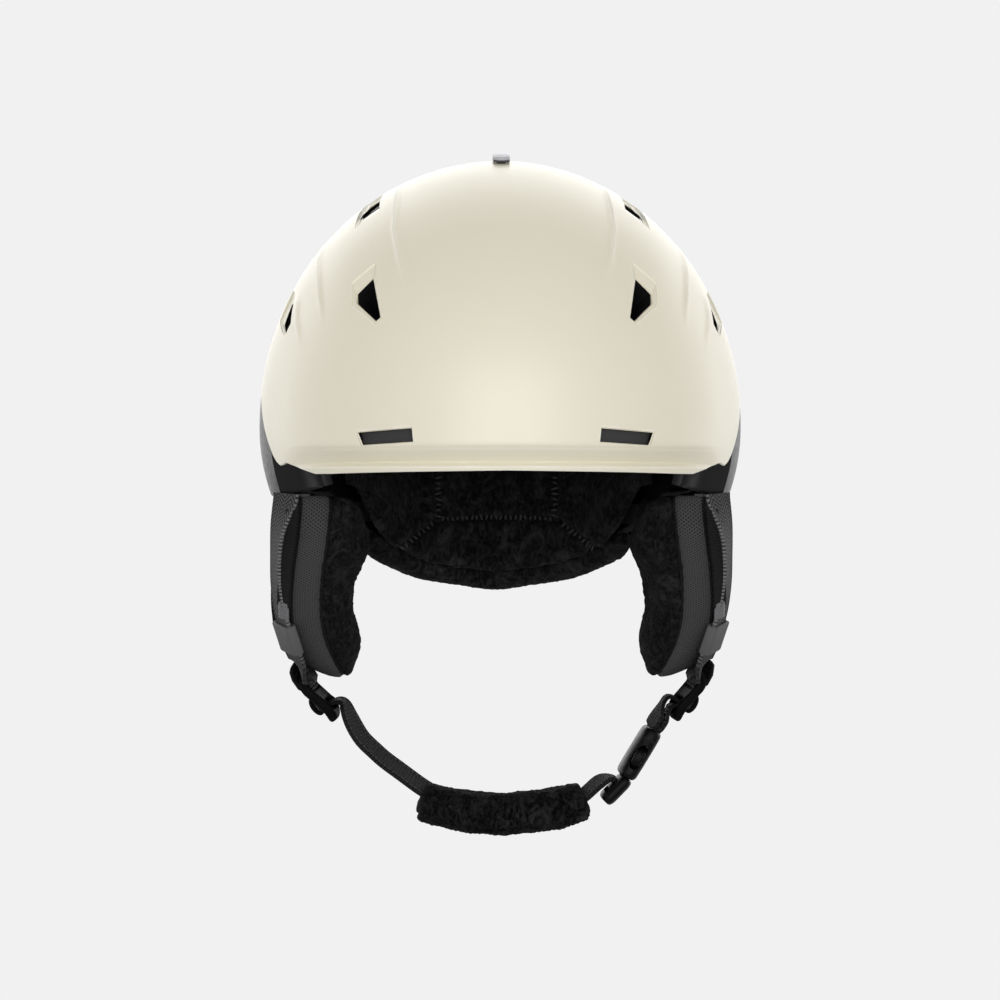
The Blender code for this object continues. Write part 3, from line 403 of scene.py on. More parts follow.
NYLON_MATT = plastic("moulded_nylon_matt", (0.005, 0.005, 0.005), rough=0.48)
INSERT = plastic("vent_insert_grey", (0.036, 0.0355, 0.036), rough=0.6, grain=900.0, spec=0.2)
RUBBER = plastic("keeper_rubber", (0.070, 0.070, 0.071), rough=0.62, grain=700.0, edge=0.6,
                 spec=0.25)
KNOB = plastic("slider_light_grey", (0.36, 0.355, 0.38), rough=0.4, edge=0.3)
KNOB_DARK = plastic("slider_dark_grey", (0.045, 0.045, 0.05), rough=0.5, edge=0.5, spec=0.2)
TONGUE = plastic("ribbon_tongue", (0.11, 0.11, 0.115), rough=0.25, edge=0.6)
STEEL = brushed_steel()
THREAD = plastic("stitch_thread", (0.030, 0.030, 0.031), rough=0.7, grain=2600.0, edge=0.4)


# ================================================================ small mathematics
def unit(v):
    v = np.asarray(v, float)
    return v / np.maximum(np.linalg.norm(v, axis=-1, keepdims=True), 1e-9)


def smooth(x, start, end):
    t = np.clip((x - start) / (end - start), 0, 1)
    return t * t * (3 - 2 * t)


def bell(x, width):
    return np.exp(-(x / width) ** 2)


def lerp(a, b, t):
    return a + (b - a) * t


def signed_power(x, exponent):
    return np.sign(x) * abs(x) ** exponent


def turn(count):
    """Angles of a full turn in radians."""
    return np.linspace(0, 2 * math.pi, count + 1)[:-1]


def at(axes, a, b, c):
    """A point in local axes (origin, first, second, third)."""
    origin, first, second, third = axes
    return origin + first * a + second * b + third * c


def tangents(path):
    return unit(np.gradient(path, axis=0))


def path_length(path):
    return np.linalg.norm(np.diff(np.asarray(path, float), axis=0), axis=1).sum()


def catmull(control, steps):
    """Catmull-Rom curve through the control points."""
    c = [np.asarray(p, float) for p in control]
    c = [2 * c[0] - c[1]] + c + [2 * c[-1] - c[-2]]
    out = []
    for i in range(1, len(c) - 2):
        p0, p1, p2, p3 = c[i - 1:i + 3]
        for k in range(steps):
            t = k / steps
            out.append(0.5 * ((2 * p1) + (p2 - p0) * t + (2 * p0 - 5 * p1 + 4 * p2 - p3) * t * t
                              + (3 * p1 - p0 - 3 * p2 + p3) * t ** 3))
    out.append(c[-2])
    return np.array(out)


def resample(path, count, closed=False):
    """The path at even steps, and its length."""
    p = np.asarray(path, float)
    if closed:
        p = np.vstack([p, p[:1]])
    s = np.concatenate([[0], np.cumsum(np.linalg.norm(np.diff(p, axis=0), axis=1))])
    t = np.linspace(0, s[-1], count + 1)[:-1] if closed else np.linspace(0, s[-1], count)
    return np.stack([np.interp(t, s, p[:, k]) for k in range(p.shape[1])], 1), s[-1]


def poly_dist(points, line):
    """Distance of 2-D points to a polyline, and how far along it (0..1)."""
    line = np.asarray(line, float)
    lengths = np.linalg.norm(np.diff(line, axis=0), axis=1)
    total, run = lengths.sum(), 0.0
    best, along = np.full(len(points), 1e9), np.zeros(len(points))
    for a, b, length in zip(line[:-1], line[1:], lengths):
        d = b - a
        t = np.clip(((points - a) @ d) / (d @ d), 0, 1)
        r = np.linalg.norm(points - (a + t[:, None] * d), axis=1)
        nearer = r < best
        best = np.where(nearer, r, best)
        along = np.where(nearer, (run + t * length) / total, along)
        run += length
    return best, along


def fractal(points, scale, octaves=3, seed=0.0):
    """Smooth noise at each point, about -1..1."""
    return np.array([noise.fractal(Vector(q), 0.8, 2.1, octaves) for q in points * scale + seed])


# ================================================================ mesh helpers
def to_frame(points):
    p = np.array(points, float)
    p[..., 2] -= DATUM_Z
    return p / 1000.0


def link(name, data):
    ob = bpy.data.objects.new(name, data)
    scene.collection.objects.link(ob)
    return ob


def place(ob, body, slot, *nodes):
    """Attach the object to the body it rides on and hide the nodes it replaces; slot is not used.
    """
    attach(ob, body)
    if nodes:
        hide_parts(*nodes)


def face_outward(mesh, merge=None):
    bm = bmesh.new()
    bm.from_mesh(mesh)
    if merge:
        bmesh.ops.remove_doubles(bm, verts=bm.verts, dist=merge)
    bmesh.ops.recalc_face_normals(bm, faces=bm.faces)
    bm.to_mesh(mesh)
    bm.free()


def sharpen(ob, degrees):
    ob.data.shade_smooth()
    ob.data.set_sharp_from_angle(angle=degrees * DEG)


def build(name, verts, faces, material=None, uv=None, sharp=None):
    mesh = bpy.data.meshes.new(name)
    mesh.from_pydata(to_frame(verts).tolist(), [], [[int(i) for i in f] for f in faces])
    face_outward(mesh)
    if uv is not None:
        index = np.zeros(len(mesh.loops), np.int32)
        mesh.loops.foreach_get("vertex_index", index)
        layer = mesh.uv_layers.new(name="UVMap")
        layer.data.foreach_set("uv", np.asarray(uv, np.float32)[index].ravel())
    mesh.validate()
    if material:
        mesh.materials.append(material)
    mesh.shade_smooth()
    if sharp:
        mesh.set_sharp_from_angle(angle=sharp * DEG)
    return link(name, mesh)


def apply_modifiers(ob):
    bpy.context.view_layer.update()
    depsgraph = bpy.context.evaluated_depsgraph_get()
    mesh = bpy.data.meshes.new_from_object(ob.evaluated_get(depsgraph), depsgraph=depsgraph)
    old = ob.data
    ob.modifiers.clear()
    ob.data = mesh
    if old.users == 0:
        bpy.data.meshes.remove(old)


def cut(ob, tools, sharp):
    for tool in tools:
        modifier = ob.modifiers.new(tool.name, "BOOLEAN")
        modifier.operation, modifier.object, modifier.solver = "DIFFERENCE", tool, "EXACT"
    apply_modifiers(ob)
    sharpen(ob, sharp)


def coords(ob):
    co = np.zeros(len(ob.data.vertices) * 3)
    ob.data.vertices.foreach_get("co", co)
    co = co.reshape(-1, 3) * 1000.0
    co[:, 2] += DATUM_Z
    return co


def normals(ob):
    n = np.zeros(len(ob.data.vertices) * 3)
    ob.data.vertex_normals.foreach_get("vector", n)
    return n.reshape(-1, 3)


def set_coords(ob, co):
    ob.data.vertices.foreach_set("co", to_frame(co).astype(np.float32).ravel())
    ob.data.update()


def loft(rings, uv=None, caps=True):
    """Skin over closed rings (rows, points, 3), with fan caps: vertices, faces, uv."""
    rings = np.asarray(rings, float)
    rows, count = rings.shape[:2]
    verts = rings.reshape(-1, 3)
    faces = []
    for j in range(rows - 1):
        for i in range(count):
            a, b = j * count + i, j * count + (i + 1) % count
            faces.append((a, b, b + count, a + count))
    if uv is not None:
        uv = np.asarray(uv, float).reshape(-1, 2)
    if caps:
        centres = []
        for base in (0, (rows - 1) * count):
            tip = len(verts) + len(centres)
            centres.append(verts[base:base + count].mean(0))
            for i in range(count):
                a, b = base + i, base + (i + 1) % count
                faces.append((b, a, tip) if base == 0 else (a, b, tip))
            if uv is not None:
                uv = np.vstack([uv, uv[base:base + count].mean(0)])
        verts = np.vstack([verts, centres])
    return verts, faces, uv


def build_loft(name, rings, material=None, uv=None, sharp=None, caps=True):
    verts, faces, uv = loft(rings, uv, caps)
    return build(name, verts, faces, material, uv, sharp)


def slab(outer, inner):
    """Closed plate between two equal grids (rows, columns, 3)."""
    outer, inner = np.asarray(outer, float), np.asarray(inner, float)
    rows, cols = outer.shape[:2]
    n = rows * cols
    verts = np.vstack([outer.reshape(-1, 3), inner.reshape(-1, 3)])
    faces = []
    for j in range(rows - 1):
        for i in range(cols - 1):
            a, b = j * cols + i, j * cols + i + 1
            c, d = b + cols, a + cols
            faces += [(a, b, c, d), (n + d, n + c, n + b, n + a)]
    for i in range(cols - 1):
        faces.append((i + 1, i, n + i, n + i + 1))
        k = (rows - 1) * cols + i
        faces.append((k, k + 1, n + k + 1, n + k))
    for j in range(rows - 1):
        a, b = j * cols, (j + 1) * cols
        faces.append((a, b, n + b, n + a))
        a, b = a + cols - 1, b + cols - 1
        faces.append((b, a, n + a, n + b))
    return verts, faces


def strap(name, path, across, width, thick, material, step, edge):
    """Webbing swept along a path, thicker at its edges; across has a direction per station."""
    path = np.asarray(path, float)
    full, length = resample(np.hstack([path, across]), max(6, int(path_length(path) / step)))
    P, A = full[:, :3], full[:, 3:]
    T = tangents(P)
    A = unit(A - T * (A * T).sum(1, keepdims=True))
    N = np.cross(T, A)
    # half the section: place across and height, both from -1 to 1
    half = [(-1.0, 0.0), (-0.985, 0.75), (-0.93, 1.0 + edge), (-0.83, 1.0), (-0.5, 1.0),
            (0.0, 1.0), (0.5, 1.0), (0.83, 1.0), (0.93, 1.0 + edge), (0.985, 0.75)]
    section = half + [(-a, -b) for a, b in half]
    rings = np.zeros((len(P), len(section), 3))
    uv = np.zeros((len(P), len(section), 2))
    for i, (a, b) in enumerate(section):
        rings[:, i] = P + A * (a * (width / 2.0)) + N * (b * (thick / 2.0))
        uv[:, i, 0] = np.linspace(0, length, len(P))
        uv[:, i, 1] = a * (width / 2.0)
    return build_loft(name, rings, material, uv, 50)


def flat_plate(name, outlines, thick, rim, material, axes, res=3):
    """A plate with rounded edges from closed outlines: the rim first, then its holes."""
    curve = bpy.data.curves.new(name, "CURVE")
    curve.dimensions, curve.fill_mode = "2D", "BOTH"
    for outline in outlines:
        spline = curve.splines.new("POLY")
        spline.points.add(len(outline) - 1)
        for point, (a, b) in zip(spline.points, outline):
            point.co = (a, b, 0, 1)
        spline.use_cyclic_u = True
    curve.extrude = thick / 2.0 - rim
    curve.bevel_depth, curve.bevel_resolution = rim, res
    curve.offset = -rim
    ob = link(name + "_c", curve)
    bpy.context.view_layer.update()
    depsgraph = bpy.context.evaluated_depsgraph_get()
    mesh = bpy.data.meshes.new_from_object(ob.evaluated_get(depsgraph))
    bpy.data.objects.remove(ob)
    co = np.array([v.co for v in mesh.vertices])
    points = at(axes, co[:, :1], co[:, 1:2], co[:, 2:3])
    bm = bmesh.new()
    bm.from_mesh(mesh)
    for vert, point in zip(bm.verts, to_frame(points)):
        vert.co = point
    bmesh.ops.remove_doubles(bm, verts=bm.verts, dist=1e-6)
    bmesh.ops.recalc_face_normals(bm, faces=bm.faces)
    bm.to_mesh(mesh)
    bm.free()
    mesh.materials.clear()
    mesh.materials.append(material)
    mesh.name = name
    out = link(name, mesh)
    sharpen(out, 40)
    return out


def rounded_rect(u0, u1, v0, v1, r, steps=6):
    return [(cx + r * math.cos((start + 90.0 * k / steps) * DEG),
             cy + r * math.sin((start + 90.0 * k / steps) * DEG))
            for cx, cy, start in ((u1 - r, v1 - r, 0), (u0 + r, v1 - r, 90),
                                  (u0 + r, v0 + r, 180), (u1 - r, v0 + r, 270))
            for k in range(steps + 1)]


def rounded_block(name, axes, span, half_v, half_n, material, power, count, end,
                  taper=lambda q: (1.0, 1.0)):
    """A block swept along its first axis with superellipse sections and rounded ends."""
    u0, u1 = span
    r = end * half_n
    # end rounding: distance in from the end, scale
    ends = [(0.0, 0.55), (0.06 * r, 0.72), (0.25 * r, 0.87), (0.6 * r, 0.965), (r, 1.0)]
    stations = ([(u0 + a, k) for a, k in ends]
                + [(u, 1.0) for u in np.linspace(u0 + r, u1 - r, 16)[1:-1]]
                + [(u1 - a, k) for a, k in ends[::-1]])
    rings = []
    for u, k in stations:
        wide, high = taper((u - u0) / (u1 - u0))
        inset = (1 - k) * half_n
        rings.append([at(axes, u,
                         (half_v * wide - inset) * signed_power(math.cos(q), 2 / power),
                         (half_n * high - inset) * signed_power(math.sin(q), 2 / power))
                      for q in turn(count)])
    return build_loft(name, rings, material, sharp=50)


def prism(name, loop, start, end):
    """Cutter: an outline carried from one offset to another."""
    n = len(loop)
    verts = [p + start for p in loop] + [p + end for p in loop]
    faces = [tuple(range(n)), tuple(range(2 * n - 1, n - 1, -1))]
    faces += [(i, (i + 1) % n, n + (i + 1) % n, n + i) for i in range(n)]
    return build(name, np.array(verts), faces)


def box(name, us, vs, ns, axes=WORLD_AXES):
    verts = [at(axes, u, v, n) for u in us for v in vs for n in ns]
    faces = [(0, 1, 3, 2), (4, 6, 7, 5), (0, 4, 5, 1), (2, 3, 7, 6), (0, 2, 6, 4), (1, 5, 7, 3)]
    return build(name, np.array(verts), faces)


# ================================================================ the helmet's surfaces
class Egg:
    """Half sizes of an egg round (0, 0, CENTRE_Z); below gives the lower one by azimuth."""

    def __init__(self, width, front, rear, top, below):
        self.width, self.front, self.rear, self.top = width, front, rear, top
        self.below = below

    def point(self, azimuth, polar, offset=0.0):
        a, t = np.broadcast_arrays(np.asarray(azimuth, float), np.asarray(polar, float))
        sa, ca, st, ct = np.sin(a * DEG), np.cos(a * DEG), np.sin(t * DEG), np.cos(t * DEG)
        depth = np.where(ca > 0, self.front, self.rear)
        height = np.where(ct > 0, self.top, self.below(a))
        p = np.stack([self.width * st * sa, -depth * st * ca, height * ct], -1)
        n = unit(np.stack([p[..., 0] / self.width ** 2, p[..., 1] / depth ** 2,
                           p[..., 2] / height ** 2], -1))
        q = p + n * np.asarray(offset, float)[..., None]
        q[..., 2] += CENTRE_Z
        return q

    def polar(self, z, azimuth=0.0):
        """The polar angle at a height."""
        z = np.asarray(z, float)
        height = np.where(z >= CENTRE_Z, self.top, self.below(np.asarray(azimuth, float)))
        return np.arccos(np.clip((z - CENTRE_Z) / height, -1, 1)) / DEG


SIDE_DROP = 103.0        # lower half height of the shell's egg from the front round to the ears
SHELL = Egg(114.0, 128.0, 148.0, 126.0,
            lambda a: SIDE_DROP + 47.0 * np.clip(-np.cos(a * DEG), 0, None) ** 1.5)
CAVITY = Egg(88.0, 102.0, 121.0, 102.0, lambda a: 160.0)
SHELL_TOP = CENTRE_Z + SHELL.top


def from_front(a):
    a = np.abs(np.asarray(a, float)) % 360.0
    return np.minimum(a, 360.0 - a)


def wrapped(a):
    return np.where(a > 180, a - 360, a)


# Edge heights: degrees from the front, then z.
UPPER_EDGE = ((0, 30, 45, 50.5, 62, 63.8, 65.5, 67.3, 69, 70.5, 75.5, 82, 90, 110, 130, 150,
               170, 180),
              (13, 12.3, 11.8, 11.9, 17.4, 16.5, 16.1, 17.7, 20.6, 24, 35, 49, 57, 60, 52, 37,
               25, 23))
LOWER_EDGE = ((50, 110, 122, 130, 150, 180), (1, 1, -8, -18, -32, -40))
FOAM_EDGE = ((0, 45, 60, 90, 110, 122, 130, 150, 180), (17, 17, 8, 5, 4, -6, -15, -26, -32))
LINER_EDGE = ((98, 112, 117, 121, 126, 131, 150, 180),
              (5.0, 5.0, -4.0, -15.0, -22.0, -27.0, -37.0, -42.5))


def edge_height(a, table, soft, start=0.0):
    """Height of an edge, its corners softened over soft degrees beyond start."""
    f = from_front(a)
    softened = np.mean([np.interp(f + k * soft, *table) for k in (-2, -1, 0, 1, 2)], 0)
    return np.where(f > start, softened, np.interp(f, *table))


def upper_edge(a):
    return edge_height(a, UPPER_EDGE, 1.6, 74.0)


def foam_edge(a):
    return edge_height(a, FOAM_EDGE, 2.0)


def half_depth(y):
    return SHELL.front if y < 0 else SHELL.rear


def half_height(z):
    return SHELL.top if z >= CENTRE_Z else SIDE_DROP


def remaining(a, b):
    return math.sqrt(max(1.0 - a ** 2 - b ** 2, 0.0))


def front_y(x, z):
    return -SHELL.front * remaining(x / SHELL.width, (z - CENTRE_Z) / half_height(z))


def shell_normal(p):
    return unit([p[0] / SHELL.width ** 2, p[1] / half_depth(p[1]) ** 2,
                 (p[2] - CENTRE_Z) / half_height(p[2]) ** 2])


def on_front(points, side):
    """(x, z) on the front of the shell."""
    return [np.array([side * x, front_y(x, z), z]) for x, z in points]


def on_top(points, side):
    """(x, y) on the top of the shell."""
    return [np.array([side * x, y, CENTRE_Z + SHELL.top
                      * remaining(x / SHELL.width, y / half_depth(y))]) for x, y in points]


def on_side(points, side):
    """(y, z) on the side of the shell."""
    return [np.array([side * (SHELL.width * remaining(
        y / half_depth(y), (z - CENTRE_Z) / half_height(z))), y, z]) for y, z in points]


# ================================================================ upper shell
# Vents of one side: name, projection, outline, hole, hole depth at each corner, reach,
# chamfer, and whether the hole runs to the rear rather than square to the surface.
VENTS = (
    ("front", on_front, ((57.6, 107.0), (68.8, 97.8), (68.6, 87.7), (57.8, 78.2), (55.0, 80.6)),
     ((59.4, 99.6), (66.3, 92.8), (66.1, 88.0), (57.7, 79.6), (55.8, 81.3)),
     (3.0, 2.8, 1.2, 0.9, 1.3), 14.0, 0.7, True),
    ("brow", on_front, ((41.5, 32.0), (66.0, 30.2), (63.6, 24.0), (40.5, 25.3)),
     ((41.6, 31.5), (65.7, 29.8), (63.4, 24.3), (40.8, 25.6)),
     (0.35, 0.35, 0.25, 0.25), 12.0, 0.1, True),
    ("crown", on_top, ((53.0, -4.0), (63.0, -6.0), (68.0, -45.5), (56.5, -47.0)),
     ((57.8, -10.0), (62.0, -10.0), (65.6, -34.5), (58.6, -35.6)),
     (1.9, 1.2, 1.8, 1.9), 16.0, 0.7, False),
    ("side", on_side, ((-14.0, 98.5), (-32.0, 95.5), (-47.0, 81.0), (-44.5, 75.2),
                       (-20.0, 83.5)),
     ((-23.0, 91.5), (-32.0, 90.2), (-39.4, 81.0), (-37.6, 78.0), (-27.0, 82.5)),
     (1.9, 1.9, 1.9, 1.7, 1.7), 12.0, 0.7, False))

# Raised style lines of one side: height, where they fade in and out (0..1), (x, z) points.
STYLE_LINES = (
    (1.30, 0.25, 0.55, ((48.1, 149.8), (49.0, 134.7), (49.8, 122.2), (47.9, 109.3),
                        (46.3, 99.8), (45.7, 90.0))),
    (0.92, 0.3, 0.6, ((82.0, 124.7), (84.8, 110.2), (84.4, 101.0), (83.8, 93.4),
                      (81.6, 76.6))),
    (0.80, 0.3, 0.6, ((94.0, 97.5), (94.5, 82.5), (91.9, 68.1))))

SLIDER_TILT = 10.0       # the slider and its slot sit this many degrees forward of the crown


def vent_pit(side, name, project, outline, hole, depth, reach, lip, to_rear):
    """Cutter: a faceted recess down to the hole, a small chamfer, then straight through."""
    outline, hole = project(outline, side), project(hole, side)
    n = shell_normal(sum(hole) / len(hole))
    out = -unit(Y - n * 0.25) if to_rear else n
    floor_ = [p - out * d for p, d in zip(hole, depth)]
    c = sum(floor_) / len(floor_)
    wide = [c + (p - c) * (1 + lip / max(2.0, float(np.linalg.norm(p - c)))) for p in floor_]
    oc = sum(outline) / len(outline)
    step = min(0.45, 0.8 * max(depth))
    rings = [[p + n * 9.0 for p in outline], [p + n * 0.02 for p in outline],
             [oc + (p - oc) * 0.97 - n * step for p in outline], wide,
             [p - out * lip for p in floor_], [p - out * reach for p in floor_]]
    return build_loft("pit_%s%d" % (name, side), rings)


def near_front_vents(points):
    weight = np.zeros(points.shape[:-1])
    for centre in on_front([(-60.0, 91.0), (60.0, 91.0)], 1):
        d = np.linalg.norm(points - centre, axis=-1)
        weight = np.maximum(weight, 1 - smooth(d, 15.0, 22.0))
    return weight


def shell_relief(points):
    """How far the moulded surface stands off the plain egg."""
    P = points.reshape(-1, 3)
    x, y, z = P.T
    relief = np.zeros(len(P))
    Q = np.stack([np.abs(x), z], 1)
    for height, fade_in, fade_out, line in STYLE_LINES:
        r, s = poly_dist(Q, line)
        fade = smooth(s, 0.0, fade_in) * (1 - smooth(s, fade_out, 1.0))
        line_x = np.interp(Q[:, 1], [p[1] for p in line[::-1]], [p[0] for p in line[::-1]])
        step = np.tanh((line_x - Q[:, 0]) / 1.3) * bell(r, 9.0)
        raised = fade * (height * bell(r, 0.85) - 0.26 * height * step)
        relief += np.where(y < 12.0, raised, 0.0)
    depth = np.where(y < 0, SHELL.front, SHELL.rear)
    f = from_front(np.degrees(np.arctan2(x / SHELL.width, -y / depth)))
    # brow: a crease, a band turned under and a lip
    brow = 1 - smooth(f, 40.0, 63.0)
    band = np.clip((23.6 - z) / 8.0, 0, 1)
    lip = smooth(15.9 - z, 0.0, 1.7)
    relief += brow * (0.8 * bell(z - 24.5, 6.5) - 4.7 * band + 3.6 * lip
                      - 0.35 * bell(z - 23.2, 0.9))
    # a shallow dished panel at the back
    relief += smooth(f, 120.0, 150.0) * (-0.9 * bell(z - 62.0, 22.0)
                                         * (1 - smooth(np.abs(x), 34.0, 52.0)))
    return relief.reshape(points.shape[:-1])


def shell_skin(azimuth, polar, thick=0.0):
    """Moulded surface points, thick below the face, and the normals of the egg."""
    P = SHELL.point(azimuth, polar)
    N = unit(SHELL.point(azimuth, polar, 1.0) - P)
    return P + N * (shell_relief(P) - thick)[..., None], N


def tip_forward(p):
    """Turn about the x axis through the egg's centre to the slider's place."""
    c, s = math.cos(SLIDER_TILT * DEG), math.sin(SLIDER_TILT * DEG)
    q = np.asarray(p, float) - np.array([0, 0, CENTRE_Z])
    turned = np.stack([q[..., 0], q[..., 1] * c - q[..., 2] * s, q[..., 1] * s + q[..., 2] * c],
                      -1)
    return turned + np.array([0, 0, CENTRE_Z])


def upper_shell():
    pits = [vent_pit(side, *vent) for side in (-1, 1) for vent in VENTS]
    half = np.concatenate([np.arange(0, 18, 1.2), np.arange(18, 82, 0.36),
                           np.arange(82.5, 120, 1.5), np.arange(120.5, 179.5, 2.0)])
    azimuth = wrapped(np.concatenate([half, [180.0], 360.0 - half[1:][::-1]]))
    edge = upper_edge(azimuth)
    mid, end = SHELL.polar(edge + 15.0, azimuth), SHELL.polar(edge, azimuth)
    outer, N = shell_skin(azimuth, np.concatenate([
        np.linspace(0.006, 1.0, 128)[:, None] * mid[None],
        mid[None] + np.linspace(0, 1, 38)[1:, None] * (end - mid)[None]], 0))
    down = unit(SHELL.point(azimuth, end + 0.3) - SHELL.point(azimuth, end))
    # rounded rim: distance down and distance inward
    rim = [outer[-1] + down * d - N[-1] * i for d, i in ((0.45, 0.35), (0.55, 1.0), (0.25, 1.65))]
    rows = np.concatenate([np.linspace(0.006, 0.9, 44), np.linspace(0.9, 1.0, 12)[1:]])
    polar = rows[:, None] * end[None]
    thick = 2.0 + 5.0 * near_front_vents(SHELL.point(azimuth, polar))
    inner, _ = shell_skin(azimuth, polar, thick)
    shell = build_loft("cream_upper_shell", np.concatenate([outer, rim, inner[::-1]], 0), CREAM)
    centre = np.array([0, 0, CENTRE_Z])
    outline = rounded_rect(-2.9, 2.9, -8.4, 20.4, 2.8, 5)
    slot = prism("slot_cut", [tip_forward(np.array([a, b, SHELL_TOP])) for a, b in outline],
                 tip_forward([0, 0, CENTRE_Z + 6.0]) - centre,
                 tip_forward([0, 0, CENTRE_Z - 9.0]) - centre)
    cut(shell, pits + [slot], sharp=24)
    place(shell, "helmet", "upper_shell", "outer_shell")


# ================================================================ foam liner
# Openings of one side: name, projection, outline, reach inward.
FOAM_HOLES = (
    ("front", on_front, ((58.9, 101.0), (67.2, 93.6), (67.0, 87.4), (58.0, 78.6), (55.0, 81.0)),
     45.0),
    ("brow", on_front, ((38.5, 34.4), (68.6, 32.6), (66.2, 21.6), (38.2, 22.8)), 12.0),
    ("side", on_side, ((-21.0, 93.5), (-33.6, 91.0), (-41.0, 79.6), (-37.8, 76.6),
                       (-25.0, 82.0)), 42.0))
FOAM_CROWN_HOLE = ((55.5, -3.0), (64.5, -4.0), (68.0, -36.5), (56.0, -37.5))    # x, y


def bow(x, degrees, offset):
    """A point on the crown by x and degrees forward of the top, off the surface."""
    k = math.sqrt(1.0 - (x / SHELL.width) ** 2)
    q = np.array([x, -SHELL.front * k * math.sin(degrees * DEG),
                  SHELL.top * k * math.cos(degrees * DEG)])
    n = unit([q[0] / SHELL.width ** 2, q[1] / SHELL.front ** 2, q[2] / SHELL.top ** 2])
    return q + n * offset + np.array([0, 0, CENTRE_Z])


def foam_cutters():
    tools = []
    for side in (-1, 1):
        for name, project, points, reach in FOAM_HOLES:
            loop = project(points, side)
            n = shell_normal(sum(loop) / len(loop))
            tools.append(prism("foam_%s%d" % (name, side), loop, n * 9.0, -n * reach))
        loop = [np.array([side * x, y, 140.0]) for x, y in FOAM_CROWN_HOLE]
        tools.append(prism("foam_crown%d" % side, loop, Z * 14.0, Z * -50.0))
    tools.append(box("foam_rear_bay", (-22.6, 22.6), (95.0, 150.0), (-50.0, 9.0)))
    tools.append(box("foam_band", (-41.0, 41.0), (96.0, 116.6), (-27.0, 3.0)))
    # a curved pocket across the crown, deeper at its middle
    xs, angles = np.linspace(-72, 72, 19), np.linspace(-3.0, 27.0, 9)
    tools.append(build("foam_pocket", *slab(
        [[bow(x, d, 4.0) for x in xs] for d in angles],
        [[bow(x, d, -6.2 - (3.0 if abs(x) < 8 else 0.0)) for x in xs] for d in angles])))
    return tools


def foam_liner():
    azimuth = wrapped(np.arange(0, 360, 2.0))
    f = from_front(azimuth)
    # raised at the front corners to stay behind the brim's edge
    edge = foam_edge(azimuth) + 6.5 * smooth(f, 30, 42) * (1 - smooth(f, 74, 88))
    upper = SHELL.polar(upper_edge(azimuth) + 14.0, azimuth)
    lower = SHELL.polar(edge + 2.0, azimuth)
    inner = CAVITY.polar(edge + 2.0)
    rows = [SHELL.point(azimuth, k * upper, -3.2) for k in np.linspace(0.01, 1.0, 46)]
    for k in np.linspace(0.02, 1.0, 16):
        brow = np.where(f < 62, 3.2 * (1 - smooth(f, 45, 62)) * k, 0.0)
        rows.append(SHELL.point(azimuth, upper + (lower - upper) * k,
                                np.where(f > 40, -5.9, -3.2) - brow))
    outer_rim, inner_rim = rows[-1], CAVITY.point(azimuth, inner)
    for q in np.linspace(0, math.pi, 9)[1:-1]:
        row = (outer_rim + inner_rim) / 2 + (outer_rim - inner_rim) / 2 * math.cos(q)
        row[:, 2] -= 2.0 * math.sin(q) ** 0.6
        rows.append(row)
    rows += [CAVITY.point(azimuth, k * inner) for k in np.linspace(1.0, 0.01, 44)]
    foam = build_loft("bead_foam_liner", rows, FOAM)
    cut(foam, foam_cutters(), sharp=35)
    # small unevenness
    co = coords(foam)
    set_coords(foam, co + normals(foam) * (0.12 * fractal(co, 0.33, 2)[:, None]))
    sharpen(foam, 35)
    place(foam, "helmet", "foam", "eps_liner")


# ================================================================ lower shell
FLAP_AZIMUTH = 70.5      # where the lower shell leaves the egg and runs forward as a flap
DIAL_Z = -12.0


def lower_point(azimuth, flap, q, inner=False):
    """Surface at q 0..1 from the tucked top down; flap is 0..1 forward along the flap."""
    side = math.copysign(1, azimuth)
    tuck = float(upper_edge(side * (abs(azimuth) - 18.0 * flap)))
    if flap:
        tuck = max(tuck, 12.0)
    z0, z1 = tuck + (3.2 if flap else 10.0), tuck - 1.1
    z2 = float(edge_height(azimuth, LOWER_EDGE, 2.0)) + 5.0 * flap ** 1.4
    z = z0 + (z1 - z0) * q / 0.3 if q < 0.3 else z1 + (z2 - z1) * (q - 0.3) / 0.7
    offset = -3.1 + 2.8 * float(smooth(tuck - z, -0.2, 0.9))
    offset = offset + (-0.5 - offset) * min(1.0, flap * 3.0)
    offset -= 1.3 * (1 - float(smooth(z - z2, 0.0, 1.6))) ** 2
    if inner:
        offset = -4.9
    p = SHELL.point(azimuth, SHELL.polar(z, azimuth), offset)
    p = p + unit([-side * 0.80, -0.60, 0.0]) * (flap * 24.0)
    p = p + np.array([-side * 0.9, 1.5, 0.0]) * (flap ** 2)
    return p + np.array([-side * 1.0, 6.0, 0.0]) * (max(0.0, flap - 0.45) / 0.55) ** 2.2


def lower_shell():
    columns = [(-FLAP_AZIMUTH, s) for s in np.linspace(1, 0, 22)[:-1]]
    columns += [(a, 0.0) for a in np.arange(-FLAP_AZIMUTH, -180.0, -1.5)]
    columns += [(a, 0.0) for a in np.arange(180.0, FLAP_AZIMUTH - 0.01, -1.5)]
    columns += [(FLAP_AZIMUTH, s) for s in np.linspace(0, 1, 22)[1:]]
    rows = np.concatenate([np.linspace(0, 0.28, 8), np.linspace(0.29, 0.34, 7),
                           np.linspace(0.36, 0.97, 26), np.linspace(0.975, 1.0, 7)])
    outer, inner = ([[lower_point(*c, q, within) for c in columns] for q in rows]
                    for within in (False, True))
    shell = build("black_lower_shell", *slab(outer, inner), BLACK)
    circle = [(17.4 * math.sin(q), 110.0, DIAL_Z + 17.4 * math.cos(q)) for q in turn(64)]
    cut(shell, [prism("dial_hole", circle, np.zeros(3), Y * 50.0)], sharp=30)
    place(shell, "helmet", "lower_shell", "lower_shell")


